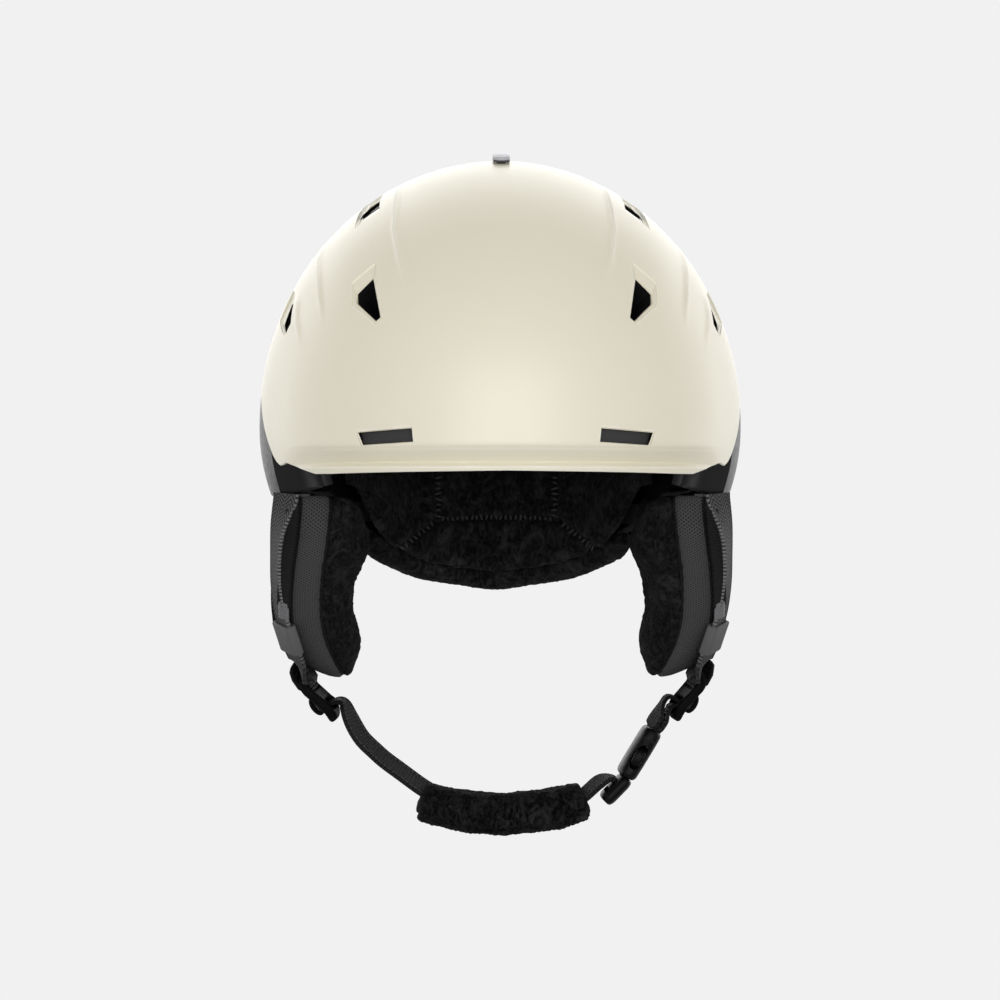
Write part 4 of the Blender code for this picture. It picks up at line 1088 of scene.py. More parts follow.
def brow_insert(side, tag):
    """Ribbed strip behind the brow vent: w runs down it and q outward."""
    outer, inner = [], []
    for w in (j / 14.0 for j in range(15)):
        outer.append([])
        inner.append([])
        rib = 0.28 * (math.cos(w * math.pi * 6) > 0.2)
        hollow = 0.9 * math.sin(w * math.pi)
        for q in (i / 48.0 for i in range(49)):
            x = lerp(40.2, 67.3, q) * (1 - w) + lerp(39.4, 65.2, q) * w
            z = lerp(33.0, 31.2, q) * (1 - w) + lerp(24.2, 22.9, q) * w
            p = np.array([side * x, front_y(x, z), z])
            n = shell_normal(p)
            end = 0.8 * (1 - min(1.0, min(q, 1 - q) / 0.04))
            outer[-1].append(p - n * (2.6 + 0.4 * hollow - rib * 0.3 + end))
            inner[-1].append(p - n * 7.5)
    ob = build("brow_insert_" + tag, *slab(outer, inner), INSERT, None, 30)
    place(ob, "helmet", "grey_plastic", "brow_vent_insert_" + tag)


def vent_slider():
    base = SHELL_TOP + 1.0

    def plate(name, u, v, r, steps, thick, rim, material, z):
        return flat_plate(name, [rounded_rect(-u, u, -v, v, r, steps)], thick, rim, material,
                          (Z * z, X, Y, Z))

    cap = plate("slider_cap", 4.0, 10.4, 3.4, 8, 1.7, 0.6, KNOB, base + 1.15)
    grooves = [box("groove%d" % k, (-6, 6), (y - 0.55, y + 0.55), (base + 1.65, base + 4.4))
               for k, y in enumerate(np.linspace(-7.5, 7.5, 6))]
    cut(cap, grooves, sharp=35)
    skirt = plate("slider_skirt", 3.9, 10.2, 3.2, 8, 1.3, 0.3, KNOB_DARK, base + 0.2)
    stem = plate("slider_stem", 2.1, 6.5, 1.5, 5, 4.0, 0.3, KNOB_DARK, base - 2.4)
    for ob, nodes in ((cap, ["vent_slider_knob"]), (skirt, []), (stem, [])):
        set_coords(ob, tip_forward(coords(ob)))
        place(ob, "vent_slider", "light_grey_plastic", *nodes)


# ================================================================ padding
SOFT = []


def soft(name, shape, material, body, node, cap=1.6, voxel=2.6, pile=0.35, pile_scale=0.45,
         seams=None):
    """Note a cushion for inflate_all(); cap limits how far the cloth pass moves it."""
    SOFT.append(SimpleNamespace(**locals()))


def wall_cushion(azimuths, height, back, face, counts, crown=4.0, corner=0.10):
    """Cushion on the cavity wall; height(q) for q 0..1, or height(q, azimuth array)."""
    U, V = np.meshgrid(*(np.linspace(-1, 1, n) for n in counts))
    a0, a1 = azimuths
    a = (a0 + a1) / 2 + (a1 - a0) / 2 * (U * (1 - corner * V ** 4))
    t = CAVITY.polar(height((V * (1 - corner * U ** 4) + 1) / 2, a))
    lift = (1 - np.abs(U) ** crown) ** 0.5 * (1 - np.abs(V) ** crown) ** 0.5
    mid = back + (face - back) * 0.35
    return slab(CAVITY.point(a, t, back + (mid - back) * (1 - lift)),
                CAVITY.point(a, t, mid + (face - mid) * lift))


# Seams of the rear liner as (x, z) points.
SEAMS = [[(-29, 14), (-29, -10.6)], [(30, 14), (30, -10.6)],
         [(-29, -9.5), (0, -8.6), (30, -9.5)], [(-30, -10.6), (-42, -20), (-55, -30)],
         [(32, -10.6), (44, -20.5), (58, -30)]]


def liner_seams(co, nn):
    d = np.zeros(len(co))
    P = np.stack([co[:, 0], co[:, 2]], 1)
    for seam in SEAMS:
        r, along = poly_dist(P, seam)
        wave = along * float(path_length(seam)) * 2 * math.pi / 5.2
        pucker = np.sin(wave + 1.3 * np.sin(along * 9))
        d += (-2.6 * bell(r, 1.4) + 0.9 * pucker * bell(r, 6.0) * (1 - bell(r, 1.2))
              + 0.9 * bell(r - 5.0, 3.2))
    for x in (-9.6, 1.5):            # two upright hollows
        r = np.abs(P[:, 0] - x - 1.5 * np.sin(P[:, 1] * 0.25))
        d += -1.1 * bell(r, 2.6) * smooth(P[:, 1], -12, -4)
    return d * ((nn[:, 1] < 0.25) & (co[:, 1] > 30))


def neck_roll():
    """A roll under the foam's rear edge, thinner at its ends."""
    first, last = 126.0, 234.0
    rings = []
    for a in np.linspace(first, last, 60):
        z = float(foam_edge(a)) - 7.4
        c = CAVITY.point(a, CAVITY.polar(z), -2.0)
        c[2] = z
        n = unit([c[0] / CAVITY.width ** 2, c[1] / CAVITY.rear ** 2, 0.0])
        end = min(1.0, min(abs(a - first), abs(last - a)) / 7.0)
        k = max(0.25, min(1.0, math.sqrt(max(0.0, 1 - (1 - end) ** 2))))
        rings.append([c + n * (7.2 * k * math.cos(q)) + Z * (6.6 * k * math.sin(q))
                      for q in turn(28)])
    return loft(rings)[:2]


def crown_pad():
    bottom, thick = 130.0, 3.4
    rings = []
    for d, k in ((0.0, 0.78), (0.5, 0.93), (1.6, 1.0), (2.6, 1.0), (thick, 0.93)):
        ring = []
        for q in turn(72):
            x, y = 24.0 * k * math.cos(q), 27.0 * k * math.sin(q)
            depth = CAVITY.front if y < 0 else CAVITY.rear
            roof = CENTRE_Z + CAVITY.top * math.sqrt(
                1 - (x / CAVITY.width) ** 2 - (y / depth) ** 2) - 1.6
            ring.append([x, y, bottom + (roof - bottom) * d / thick])
        rings.append(ring)
    return loft(rings)[:2]


def inner_padding():
    soft("forehead_pad", wall_cushion((-38, 38), lambda q, a: 52 - 31 * q, -1.5, -8.5, (60, 26)),
         PLUSH_IN, "helmet", "front_pad")
    for tag, azimuths in (("left", (62, 112)), ("right", (-112, -62))):
        shape = wall_cushion(azimuths, lambda q, a: 48 - 36 * q, -1.5, -8.5, (44, 30))
        soft("temple_pad_" + tag, shape, PLUSH_IN, "helmet", "side_pad_" + tag)
    shape = wall_cushion((99, 261), lambda q, a: 16 + (edge_height(a, LINER_EDGE, 1.5) - 16) * q,
                         -10.8, -17.5, (130, 50), crown=8.0, corner=0.03)
    soft("rear_plush_liner", shape, PLUSH_IN, "helmet", "rear_liner", pile=0.45,
         seams=liner_seams)
    soft("neck_roll_plush", neck_roll(), PLUSH_IN, "helmet", "neck_roll", cap=0.9)
    soft("crown_pad_plush", crown_pad(), PLUSH_IN, "helmet", "crown_pad", cap=0.5, pile=0.2)


# ================================================================ ear pads
# Outline as (y, z) from the front corner round the bottom to the rear corner.
EAR_OUTLINE = [(-46, -3.4), (-47, -12), (-46, -24), (-42, -37), (-36, -50), (-29, -62),
               (-22, -73), (-14, -80.5), (-3, -83), (8, -80.5), (16, -73), (24, -62),
               (32, -50), (39, -37), (43, -24), (44, -12), (43, -3.4)]
EAR_CENTRE = np.array([-2.0, -38.0])
EAR, EAR_LENGTH = resample(
    np.vstack([catmull(EAR_OUTLINE, 8),
               catmull([(43, -3.4), (0, -3.0), (-46, -3.4)], 20)[1:-1]]), 180, True)
ear_tangent = unit(np.roll(EAR, -1, 0) - np.roll(EAR, 1, 0))
EAR_OUT = np.stack([ear_tangent[:, 1], -ear_tangent[:, 0]], 1)

# The pad's lowest z by depth inward: its outside is shorter than its inside.
BOTTOM_DEPTH = (0.0, 4.0, 8.0, 12.0, 16.0, 20.0, 24.0, 28.0, 32.0, 36.0)
BOTTOM_Z = (-76.0, -78.4, -81.0, -82.7, -83.5, -83.4, -82.2, -79.6, -75.6, -71.0)

# Levels down the pad's side: depth inward from its outer face, inset from the outline.
COVER_LEVELS = [(1.5, 4.0), (0.9, 2.6), (1.0, 1.2), (1.6, 0.5), (2.6, 0.2), (3.6, 0.5)]
BAND_LEVELS = [(4.1, 1.9), (4.15, 0.9), (4.7, 0.2), (6.2, -0.25), (8.6, -0.55), (11.0, -0.8),
               (13.4, -0.7), (15.4, -0.35), (16.8, 0.3), (17.6, 1.1), (17.8, 2.2)]
CUSHION_LEVELS = [(18.6, 2.2), (18.9, 1.0), (20.0, 0.0), (22.5, -0.4), (25.5, 0.3),
                  (28.5, 1.7), (31.0, 4.2), (32.6, 7.6)]


def ear_x(y, z):
    """Distance of the pad's outer face from the middle plane."""
    y, z = np.asarray(y, float), np.asarray(z, float)
    tuck = np.maximum(0.0, -38.0 - z)
    return (103.5 + 3.0 * np.clip(-z / 30.0, 0, 1) - 0.0032 * y * y - 0.0045 * tuck ** 2
            - 0.00006 * tuck ** 3)


def ear_depth(co, side):
    return ear_x(co[:, 1], co[:, 2]) - side * co[:, 0]


def ear_angle(co):
    return np.arctan2(co[:, 2] - EAR_CENTRE[1], co[:, 1] - EAR_CENTRE[0])


def ear_ring(side, inset, depth, lift=0.3, k=1.0):
    q = EAR_CENTRE + (EAR - EAR_OUT * inset - EAR_CENTRE) * k
    bottom = float(np.interp(depth, BOTTOM_DEPTH, BOTTOM_Z))
    z = q[:, 1] + (bottom + 83.0) * smooth(-q[:, 1], 40.0, 83.0)
    z = z + 5.2 * smooth(z, -18.0, -3.4)         # the top runs up under the shell's edge
    z = np.minimum(z, 2.2 - lift)
    return np.stack([side * (ear_x(q[:, 0], z) - depth), q[:, 0], z], 1)


def ear_solid(side, levels, count, crown_out=0.0, crown_in=0.0, lift=0.3):
    """Rings over the outer face, down the levels and over the inner face, with uv."""
    first, inset = levels[0]
    rings = [ear_ring(side, inset, first - crown_out * (1 - k ** 2.2), lift, k)
             for k in np.linspace(0.02, 1.0, count)[:-1]]
    rings += [ear_ring(side, i, d, lift) for d, i in levels]
    last, inset = levels[-1]
    rings += [ear_ring(side, inset, last + crown_in * (1 - k ** 2.2), lift, k)
              for k in np.linspace(1.0, 0.02, count)[1:]]
    rings = np.array(rings)
    around = np.linspace(0, EAR_LENGTH, len(EAR) + 1)[:-1]
    steps = np.linalg.norm(np.diff(rings[:, 10], axis=0), axis=1)
    down = np.concatenate([[0], np.cumsum(steps)])
    return rings, np.stack(np.broadcast_arrays(around[None], down[:, None]), -1)


def ear_seams(side):
    def seams(co, nn):
        # gathers where the plush meets the mesh side, and a hollow over the ear
        depth = ear_depth(co, side)
        r = np.hypot((co[:, 1] + 2.0) / 30.0, (co[:, 2] + 40.0) / 27.0)
        angle = ear_angle(co)
        d = -2.2 * (1 - smooth(r, 0.35, 1.0)) * (depth > 25)
        return d + 0.45 * np.sin(angle * 34 + 2 * np.sin(angle * 5)) * bell(depth - 19.5, 3.0)
    return seams


def ear_cover(side, tag, body):
    """Twill cover on the outside, with a sewn line inside its edge."""
    rings, uv = ear_solid(side, COVER_LEVELS, 26, crown_out=0.3)
    ob = build_loft("ear_cover_twill_" + tag, rings, COVER, uv)
    co, nn = coords(ob), normals(ob)
    r, _ = poly_dist(co[:, 1:], EAR[:110] - EAR_OUT[:110] * 6.0)
    sewn = -0.55 * bell(r, 0.7) + 0.22 * bell(r - 1.6, 1.0)
    rise = np.where(side * nn[:, 0] > 0.4, sewn, 0.0) + 0.10 * fractal(co, 0.10, 3, 7.0)
    set_coords(ob, co + nn * rise[:, None])
    place(ob, body, "twill", "ear_cover_" + tag)


def ear_band(side, tag, body):
    """Mesh side band, bulging between its two seams."""
    rings, uv = ear_solid(side, BAND_LEVELS, 8)
    ob = build_loft("ear_mesh_band_" + tag, rings, MESH, uv)
    co, nn = coords(ob), normals(ob)
    depth = ear_depth(co, side)
    rise = 0.35 * fractal(co * np.array([0.6, 1, 1]), 0.07, 2, 3.0)
    rise = rise + 0.18 * np.sin(ear_angle(co) * 46) * (bell(depth - 5.0, 2.0)
                                                       + bell(depth - 17.2, 2.0))
    set_coords(ob, co + nn * rise[:, None])
    place(ob, body, "mesh_fabric", "ear_body_" + tag)


def ear_piping(side, tag, body, name, depth, inset, radius):
    c = ear_ring(side, inset, depth, 0.6)[:112]
    tt = tangents(c)
    e1 = unit(np.cross(tt, X * side))
    e2 = np.cross(tt, e1)
    index = np.arange(len(c))
    r = radius * np.minimum(1.0, np.minimum(index, index[::-1]) / 3.0 + 0.2)
    rings = np.stack([c + e1 * (r * math.cos(q))[:, None] + e2 * (r * math.sin(q))[:, None]
                      for q in turn(10)], 1)
    run = np.concatenate([[0], np.cumsum(np.linalg.norm(np.diff(c, axis=0), axis=1))])
    uv = np.stack(np.broadcast_arrays(run[:, None], np.linspace(0, 4.4, 10)[None]), -1)
    ob = build_loft("ear_piping_%s_%s" % (name, tag), rings, RIBBON, uv)
    place(ob, body, "twill")


def ear_cushion(side, tag, body):
    """Plush cushion against the head, swollen toward it at mid height."""
    rings, _ = ear_solid(side, CUSHION_LEVELS, 20, crown_in=1.2, lift=0.8)
    v, f, _ = loft(rings)
    depth = ear_depth(v, side)
    window = smooth(v[:, 1], -47, -36) * (1 - smooth(v[:, 1], 20, 38))
    wing = 8.0 * bell(v[:, 2] + 21.0, 12.5) * window * smooth(depth, 21, 31)
    hem = (2.6 * smooth(-v[:, 2], 70, 84) - 2.6 * bell(v[:, 2] + 64.0, 9.0)) * smooth(
        depth, 20, 30)
    v[:, 0] -= side * (wing - hem)
    v[:, 2] += 2.0 * smooth(-v[:, 2], 74, 86) * smooth(depth, 24, 33)
    soft("ear_plush_" + tag, (v, f), PLUSH_EAR, body, "ear_cushion_" + tag, cap=2.0, pile=0.5,
         seams=ear_seams(side))


def ear_ribbon(side, tag, body):
    """Ribbed binding down the pad's front edge, with a moulded tongue at its end."""
    zz = np.linspace(-4.5, -49.0, 40)
    yy = np.interp(-zz, [0.0, 12, 24, 37, 50], [-46.0, -47, -46, -42, -36])
    facing, path = [], []
    for y, z in zip(yy, zz):
        n = unit([side * 0.60, -0.80, -0.15 * float(smooth(-z, 20, 45))])
        path.append(np.array([side * (float(ear_x(y + 1.5, z)) - 1.3), y - 1.2, z]) + n * 0.35)
        facing.append(n)
    path = np.array(path)
    across = unit(np.cross(tangents(path), np.array(facing)))
    ob = strap("ear_edge_ribbon_" + tag, path, across, 7.4, 1.2, RIBBON, step=0.8, edge=0.0)
    place(ob, body, "twill")
    along = unit(path[-1] - path[-4])
    axes = (path[-1], along, across[-1], unit(np.cross(along, across[-1])))
    ob = rounded_block("ear_ribbon_tongue_" + tag, axes, (-2.0, 6.5), 2.9, 1.0, TONGUE,
                       power=3.0, count=28, end=0.8)
    place(ob, body, "black_nylon")


def ear_pads():
    for side, tag in SIDES:
        body = "ear_pad_" + tag
        ear_cover(side, tag, body)
        ear_band(side, tag, body)
        ear_piping(side, tag, body, "outer", depth=4.15, inset=-0.1, radius=0.75)
        ear_piping(side, tag, body, "inner", depth=18.1, inset=1.3, radius=0.65)
        ear_cushion(side, tag, body)
        ear_ribbon(side, tag, body)


# ================================================================ chin pad
CHIN_CENTRE = (1.5, -30.5)       # x, z of the arc's centre
CHIN_RADIUS = 117.0
CHIN_END = 19.6                  # degrees each way from straight down
CHIN_Y = -12.0


def chin_point(degrees, radius, y):
    return np.array([CHIN_CENTRE[0] + radius * math.sin(degrees * DEG), y,
                     CHIN_CENTRE[1] - radius * math.cos(degrees * DEG)])


def chin_seams(co, nn):
    """A sewn line near the lower edge, with small gathers."""
    dx, dz = co[:, 0] - CHIN_CENTRE[0], co[:, 2] - CHIN_CENTRE[1]
    degrees = np.degrees(np.arctan2(dx, -dz))
    r = np.hypot(dx, dz) - CHIN_RADIUS - 6.6
    return (-0.9 * bell(r, 0.9) + 0.35 * np.sin(degrees * 1.9 * math.pi) * bell(r, 3.0)
            + 0.7 * fractal(co, 0.085, 2, 11.0))


def chin_pad():
    rings = []
    for d in np.linspace(-CHIN_END, CHIN_END, 56):
        end = min(1.0, (CHIN_END - abs(d)) / 1.7)
        rounding = math.sqrt(max(0.0, 1 - (1 - end) ** 2))
        high = 9.3 * (0.45 + 0.55 * rounding) * (
            1.0 + 0.04 * math.cos(d / CHIN_END * math.pi / 2))
        wide = 12.6 * (0.78 + 0.22 * rounding)
        rings.append([chin_point(d, CHIN_RADIUS + 0.2 + high * signed_power(math.sin(q), 0.75),
                                 CHIN_Y + wide * signed_power(math.cos(q), 0.75))
                      for q in turn(40)])
    soft("chin_pad_plush", loft(rings)[:2], PLUSH_CHIN, "chin_pad", "chin_pad", pile=0.42,
         pile_scale=0.30, voxel=2.0, seams=chin_seams)


# ================================================================ cloth pass
def add_cloth(ob):
    modifier = ob.modifiers.new("cloth", "CLOTH")
    cloth = modifier.settings
    cloth.quality = 4
    cloth.mass = 0.25
    cloth.use_pressure = True
    cloth.uniform_pressure_force = 4.0
    cloth.tension_stiffness = cloth.compression_stiffness = 18.0
    cloth.shear_stiffness = 6.0
    cloth.bending_stiffness = 0.6
    cloth.effector_weights.gravity = 0.0
    modifier.point_cache.frame_start, modifier.point_cache.frame_end = 1, 20


def inflate_all():
    """Remesh every cushion, inflate them together, then press in seams and raise pile."""
    for s in SOFT:
        s.ob = build(s.name, *s.shape, s.material)
        remesh = s.ob.modifiers.new("r", "REMESH")
        remesh.mode, remesh.voxel_size = "VOXEL", s.voxel / 1000.0
        remesh.use_smooth_shade = True
        apply_modifiers(s.ob)
        s.rest = coords(s.ob)
        add_cloth(s.ob)
    scene.frame_start, scene.frame_end = 1, 20
    for number in range(1, 15):
        scene.frame_set(number)
    for s in SOFT:
        depsgraph = bpy.context.evaluated_depsgraph_get()
        move = coords(s.ob.evaluated_get(depsgraph)) - s.rest
        s.ob.modifiers.clear()
        length = np.linalg.norm(move, axis=1, keepdims=True)
        move = move * np.minimum(1.0, s.cap / np.maximum(length, 1e-9))
        set_coords(s.ob, s.rest + move)
    scene.frame_set(1)
    for s in SOFT:
        subdivision = s.ob.modifiers.new("sub", "SUBSURF")
        subdivision.levels = subdivision.render_levels = 1
        apply_modifiers(s.ob)
        co, nn = coords(s.ob), normals(s.ob)
        if s.seams:
            co = co + nn * s.seams(co, nn)[:, None]
            set_coords(s.ob, co)
            nn = normals(s.ob)
        combed = co * np.array([1.0, 1.0, 0.6])
        swirled = combed + 5.0 * fractal(co, 0.06, 2, 4.0)[:, None]
        h = (fractal(combed, s.pile_scale, 3, 2.0)
             + 0.6 * fractal(swirled, s.pile_scale * 2.3, 2, 9.0))
        set_coords(s.ob, co + nn * (s.pile * h)[:, None])
        s.ob.data.shade_smooth()
        place(s.ob, s.body, "plush", s.node)


def liner_stitches():
    """Short thread bars across the rear liner's seams."""
    tree = BVHTree.FromObject(bpy.data.objects["rear_plush_liner"],
                              bpy.context.evaluated_depsgraph_get())
    verts, faces = [], []
    for number, seam in enumerate(SEAMS):
        line, _ = resample([(x, 0.0, z) for x, z in seam],
                           int(max(6, path_length(seam) / 2.3)))
        along = tangents(line)
        for i in range(1, len(line) - 1):
            x, _, z = line[i]
            hit, normal, _, _ = tree.ray_cast(Vector(to_frame((x, -20.0, z))),
                                              Vector((0, 1, 0)))
            if hit is None:
                continue
            h = np.array(hit) * 1000.0 + Z * DATUM_Z
            n = np.array(normal)
            n = n if n[1] < 0 else -n
            n = unit(n + np.array([0, -1.2, 0]))
            across = unit(np.cross(along[i], n) + 0.35 * math.sin(i * 2.1 + number) * along[i])
            thin = np.cross(n, across)
            half = 2.1 + 0.5 * math.sin(i * 1.7 + number * 2.0)
            base = len(verts)
            for a in range(7):
                w = -1 + a / 3.0
                r = 0.55 * math.sqrt(max(0.08, 1 - w * w * 0.92))
                for b in range(6):
                    q = b / 6.0 * 2 * math.pi
                    verts.append(h + across * (half * w) + n * (0.35 + 0.75 * (1 - w * w) - 0.3)
                                 + thin * (r * math.cos(q)) + n * (r * 0.8 * math.sin(q)))
            for a in range(base, base + 36, 6):
                for b in range(6):
                    c = (b + 1) % 6
                    faces.append((a + b, a + c, a + 6 + c, a + 6 + b))
            faces.append(tuple(base + b for b in range(6))[::-1])
            faces.append(tuple(base + 36 + b for b in range(6)))
    ob = build("rear_liner_stitches", np.array(verts), faces, THREAD)
    place(ob, "helmet", "plush")


# ================================================================ strap dividers
DIVIDER_U, DIVIDER_V = 13.2, 10.9        # half length and half width


def divider_axes(side, centre, along):
    """Axes: down the divider, across it, and its normal toward the head, turned forward."""
    u = unit(along)
    inward = -side * unit(np.cross(u, Y))
    n = unit(inward * math.cos(10 * DEG) - Y * math.sin(10 * DEG))
    return np.array(centre), u, unit(np.cross(n, u)), n


DIVIDERS = {"right": divider_axes(-1, (-85.5, -8.0, -93.0), (0.597, 0.0, -0.802)),
            "left": divider_axes(1, (88.6, -8.0, -92.2), (-0.49, 0.0, -0.872))}


def strap_divider(tag):
    axes = DIVIDERS[tag]
    centre, u, v, n = axes
    rim = rounded_rect(-DIVIDER_U, DIVIDER_U, -DIVIDER_V, DIVIDER_V, 7.5, 10)
    rim = [(a, b * (1 - 0.16 * max(0.0, a / DIVIDER_U))) for a, b in rim]
    slots = [rounded_rect(-9.0, -4.0, -7.7, 7.7, 2.4), rounded_rect(2.4, 8.2, -6.9, 6.9, 2.8)]
    ob = flat_plate("divider_" + tag, [rim] + slots, 4.6, 1.9, NYLON_SOFT, axes, 6)
    # a shallow S from end to end, dished across
    co = coords(ob)
    du, dv = (co - centre) @ u, (co - centre) @ v
    rise = 1.3 * np.sin(du / DIVIDER_U * math.pi) + 0.9 * (dv / DIVIDER_V) ** 2
    set_coords(ob, co + n * rise[:, None])
    place(ob, "helmet", "black_nylon", "strap_divider_" + tag)
    ovals = [[(a * math.cos(q), b * math.sin(q)) for q in turn(40)]
             for a, b in ((4.9, 2.7), (2.6, 0.7))]
    ob = flat_plate("divider_hook_" + tag, ovals, 7.0, 0.9, NYLON_SOFT,
                    (centre + u * 2.6 - n * 3.0, u, -n, v), 4)
    place(ob, "helmet", "black_nylon")


# ================================================================ side webbing
STRAP_WIDTH = 15.0
# Front strap on the left side: x, y, z, degrees its face is turned to the front.
FRONT_STRAP = ((99.6, -43.6, 3.0, 50), (99.9, -43.4, 0.0, 48), (101.6, -42.8, -6.0, 36),
               (103.6, -41.5, -14.0, 23), (104.5, -38.6, -26.0, 17), (104.3, -34.4, -40.0, 19),
               (102.4, -30.0, -53.0, 24), (99.4, -26.0, -64.0, 27), (96.6, -23.6, -72.0, 30),
               (93.6, -19.6, -78.6, 24))
# Rear strap over the ear pad: y, z, offset from the pad; then free points x, y, z.
REAR_STRAP = ((39, 2.5, 1.0), (38.6, 0.0, 1.9), (37, -10, 2.6), (33, -22, 2.6), (28, -34, 2.6),
              (22, -46, 2.6), (15, -56, 2.4), (9, -65, 2.3))
REAR_FREE = ((97.7, 4.0, -73.0), (94.3, -2.0, -79.8))
# Both end at the divider: distance along it, distance along its normal.
FRONT_TURN = ((-13.6, 3.2), (-9.6, 3.3), (-7.2, 1.6), (-5.6, -1.2))
REAR_TURN = ((-11.8, -3.0), (-8.6, -2.6), (-6.4, -0.9), (-4.9, 1.4))


def turned_out(side, degrees):
    return np.array([side * math.cos(degrees * DEG), -math.sin(degrees * DEG), 0.0])


def over_ear(side, y, z, offset):
    """A point off the ear pad's face, and the normal there."""
    p = np.array([side * float(ear_x(y, z)), y, z])
    dy = float(ear_x(y + 1, z) - ear_x(y - 1, z)) / 2
    dz = float(ear_x(y, z + 1) - ear_x(y, z - 1)) / 2
    n = unit([side, -dy, -dz])
    return p + n * offset, n


def side_strap(name, node, tag, stations, ends, thick, material, step, edge):
    axes = DIVIDERS[tag]
    stations = stations + [(at(axes, a, 0, d), -axes[3]) for a, d in ends]
    full = catmull([np.hstack(station) for station in stations], 6)
    across = np.cross(tangents(full[:, :3]), unit(full[:, 3:]))
    ob = strap(name + tag, full[:, :3], across, STRAP_WIDTH, thick, material, step, edge)
    place(ob, "helmet", "webbing", node + tag)


def strap_keeper(side, tag):
    """A rounded flat loop round the front strap."""
    mid, above, below = (np.array([side * FRONT_STRAP[k][0], *FRONT_STRAP[k][1:3]])
                         for k in (7, 6, 8))
    along = unit(below - above)
    n = turned_out(side, 27)
    n = unit(n - along * (n @ along))
    axes = (mid, along, unit(np.cross(along, n)), n)
    # place along, then half size and exponent across and through
    sections = [(s, 8.4 + k, 0.28, 2.35 + k * 0.75, 0.45) for s, k in (
        (-7.2, 0.0), (-7.1, 0.28), (-6.7, 0.55), (6.7, 0.55), (7.1, 0.28), (7.2, 0.0))]
    sections += [(s, 7.7, 0.22, 1.3, 0.35) for s in (7.0, -7.0)]
    rings = [[at(axes, s, wide * signed_power(math.cos(q), wide_power),
                 thick * signed_power(math.sin(q), thick_power)) for q in turn(60)]
             for s, wide, wide_power, thick, thick_power in sections]
    ob = build_loft("strap_keeper_loop_" + tag, rings + rings[:1], RUBBER, sharp=50, caps=False)
    face_outward(ob.data, merge=1e-7)
    place(ob, "helmet", "grey_plastic", "strap_keeper_" + tag)


def side_webbing(side, tag):
    stations = [(np.array([side * x, y, z]), turned_out(side, t)) for x, y, z, t in FRONT_STRAP]
    side_strap("side_webbing_front_", "strap_front_", tag, stations, FRONT_TURN, 1.5, TWILL,
               step=1.2, edge=0.35)
    stations = [over_ear(side, *station) for station in REAR_STRAP]
    stations += [(np.array([side * x, y, z]), unit([side * 0.93, 0.0, -0.36]))
                 for x, y, z in REAR_FREE]
    side_strap("side_webbing_rear_", "strap_rear_", tag, stations, REAR_TURN, 1.4, WEB,
               step=1.4, edge=0.3)
    strap_keeper(side, tag)


# ================================================================ chin sling
BUCKLE_U = unit([-0.5185, 0.0, -0.8551])
# Buckle axes: down the strap, to the rear, and outward.
BUCKLE = (np.array([71.4, CHIN_Y, -108.6]), BUCKLE_U, Y, unit(np.cross(BUCKLE_U, Y)))

RIGHT_PATH = ((-83.0, -8.0, -97.9), (-81.2, -8.6, -96.3), (-78.4, -9.0, -94.8),
              (-75.2, -9.0, -94.5), (-73.0, -9.0, -96.6), (-70.8, -9.4, -102.0),
              (-67.8, -10.2, -108.0), (-64.4, -10.8, -112.9), (-59.5, -11.4, -117.6),
              (-54.3, -11.8, -122.2), (-47.8, -12.0, -127.0), (-42.4, -12.0, -131.0),
              (-38.0, -12.0, -134.2), (-33.0, -12.0, -137.4), (-28.5, -12.0, -139.8))
LEFT_INNER = ((86.6, -8.0, -97.3), (84.6, -8.6, -95.6), (81.6, -9.0, -93.2),
              (78.6, -9.2, -92.9), (75.8, -9.8, -96.6), (73.4, -10.8, -101.6),
              at(BUCKLE, -3.6, 0, -1.6), at(BUCKLE, 1.6, 0, -0.9))
LEFT_OUTER = ((85.4, -8.2, -98.6), (83.0, -8.8, -97.4), (80.8, -9.3, -96.9),
              (78.6, -10.0, -99.6), (76.3, -11.0, -103.4),
              at(BUCKLE, -2.6, 0, 1.3), at(BUCKLE, 1.6, 0, 0.9))
# The lower strap's end after the chin arc: x, z.
LOWER_TAIL = ((38.4, -139.6), (42.0, -136.4), (45.6, -133.2), (49.4, -131.2),
              (53.0, -130.9), (55.4, -133.0), (55.0, -136.4))


def chin_strap(name, path, twist, thick, edge):
    """Webbing lying across y, twisted by an angle per station in radians."""
    inward = unit(np.cross(tangents(path), Y))
    across = Y * np.cos(twist)[:, None] + inward * np.sin(twist)[:, None]
    return strap(name, path, across, STRAP_WIDTH, thick, WEB, step=1.2, edge=edge)


